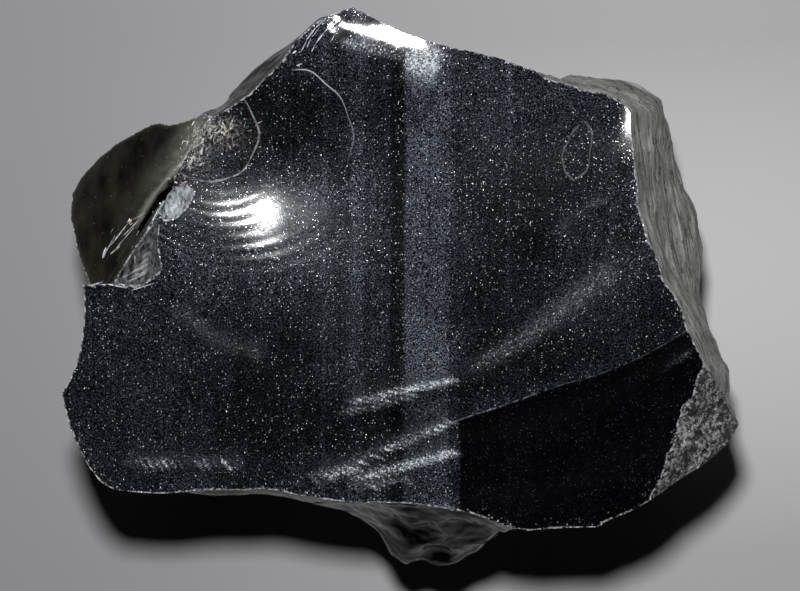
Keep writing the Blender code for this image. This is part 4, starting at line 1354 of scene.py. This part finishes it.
def all_materials(shift):
    return {
        "face": face_material(shift),
        "shoulder": shoulder_material(),
        "glass": flank_material("obsidian_flank", 0.08, 0.03),
        "base": flank_material("obsidian_base", 0.1, 0.06),
        "crevice": flank_material("obsidian_crevice", 0.0, 0.0),
        "pale_flake": chip_material("pale_flake", (0.02, 0.023, 0.027), (0.52, 0.56, 0.60), 2.2, 0.4),
        "grey_flake": chip_material("grey_flake", (0.006, 0.006, 0.007), (0.15, 0.155, 0.16), 1.6, 0.38),
        # The crack finish paints the glints of cracks inside the glass.
        "crack": chip_material("painted_crack_glint", (0.20, 0.21, 0.23), (0.75, 0.78, 0.80), 2.0),
        # The hackle finish paints highlights.
        "hackle": chip_material("painted_hackle_highlight", (0.35, 0.37, 0.42), (0.85, 0.87, 0.92), 2.0),
        "spark": chip_material("orange_spark", (0.75, 0.30, 0.10), (0.90, 0.65, 0.35), 2.0),
        "cyan_glint": chip_material("cyan_glint", (0.08, 0.30, 0.28), (0.30, 0.65, 0.60), 2.0),
        "pink_glint": chip_material("pink_glint", (0.35, 0.08, 0.20), (0.60, 0.30, 0.42), 2.0),
        "shard": chip_material("shattered_glass", (0.015, 0.015, 0.015), (0.85, 0.84, 0.80), 2.0, 0.12),
        "nibble": chip_material("obsidian_nibble", (0.010, 0.010, 0.011), (0.20, 0.205, 0.21)),
        "cortex": cortex_material(),
        "rough": rough_material(),
    }


# ---------------------------------------------------------------- building


def build_stone():
    group = bpy.data.collections.new("stone")
    bpy.context.scene.collection.children.link(group)
    stone = blank(group)
    cuts = Cuts()
    face_cutter(cuts)
    shoulder_cutter(cuts)
    for name, flank in FLANKS.items():
        flank_cutter(cuts, name, flank)
    for name, scar in SCARS.items():
        scar_cutter(cuts, name, scar)
    scar_cutter(cuts, "chamfer", CHAMFER, radius=24.0)
    for name, chip in CHIPS.items():
        chip_cutter(cuts, name, chip)
    subtract(stone, cuts.objects, group)
    mark_stone(stone, cuts, group)
    nibble_rims(stone, cuts, group)
    shift, scale = fit_to_cad(stone, *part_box(NODE))
    paint_layers(stone.data, cuts, shift, scale)
    shade_true(stone.data, cuts, all_materials(shift))
    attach(stone, "root")
    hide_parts(NODE)
    return stone


# ---------------------------------------------------------------- stage

CAMERA = dict(at=(-0.0007, -0.0002, 0.345), lens=93.1)
FLOOR_SIZE = 3.0
KEY = dict(at=(-0.012, 0.0664, 0.345), size=0.032, watts=0.81)
PANELS = [
    dict(at=(0.55, 0.05, 0.22), size=(0.20, 0.08), watts=0.020),
    dict(at=(-0.50, 0.20, 0.26), size=(0.20, 0.08), watts=0.011),
    dict(at=(-0.05, 0.58, 0.26), size=(0.26, 0.07), watts=0.034),
]


def area_light(name, at, size, watts, aim=(0.0, 0.0, 0.02)):
    data = bpy.data.lights.new(name, "AREA")
    data.shape = "RECTANGLE"
    data.size, data.size_y = size
    data.energy = watts
    lamp = bpy.data.objects.new(name, data)
    lamp.location = at
    lamp.rotation_euler = (Vector(aim) - Vector(at)).to_track_quat("-Z", "Y").to_euler()
    bpy.context.scene.collection.objects.link(lamp)
    return lamp


def floor_material():
    paint = Paint("pale_floor_painted_falloff")
    x, y, _ = paint.axes()
    # Painted fall-off of the light on the floor: darker to the left and towards the top and bottom, brighter
    # to the right.
    painted_falloff = paint.remap(paint.times(y, y), 0.0, 1800.0, 1.0, 0.52)
    across = paint.times(paint.remap(x, -70.0, 70.0, 0.0, 1.0, True), painted_falloff)
    colour = paint.mix(across, (0.42, 0.42, 0.435), (0.80, 0.795, 0.805))
    paint.bump(paint.noise(0.6, 2.0), 0.02, 0.3)
    return paint.finish(colour, 0.75)


def set_stage():
    mesh = bmesh.new()
    bmesh.ops.create_grid(mesh, x_segments=4, y_segments=4, size=FLOOR_SIZE / 2)
    data = new_data("floor", mesh)
    data.materials.append(floor_material())
    floor = bpy.data.objects.new("floor", data)
    bpy.context.scene.collection.objects.link(floor)

    key = area_light("key", KEY["at"], (KEY["size"], KEY["size"]), KEY["watts"])
    key.data.shape = "DISK"
    for number, panel in enumerate(PANELS):
        area_light(f"panel_{number}", **panel)

    world = bpy.data.worlds.new("room")
    bpy.context.scene.world = world
    world.use_nodes = True
    world.node_tree.nodes["Background"].inputs["Color"].default_value = (0.80, 0.85, 1.0, 1.0)
    world.node_tree.nodes["Background"].inputs["Strength"].default_value = 0.0008
    bpy.context.scene.view_settings.view_transform = "Standard"


def set_camera():
    data = bpy.data.cameras.new("camera")
    data.lens = CAMERA["lens"]
    data.sensor_width = 36.0
    data.clip_start = 0.01
    camera = bpy.data.objects.new("camera", data)
    camera.location = CAMERA["at"]
    bpy.context.scene.collection.objects.link(camera)
    bpy.context.scene.camera = camera


build_stone()
set_stage()
set_camera()
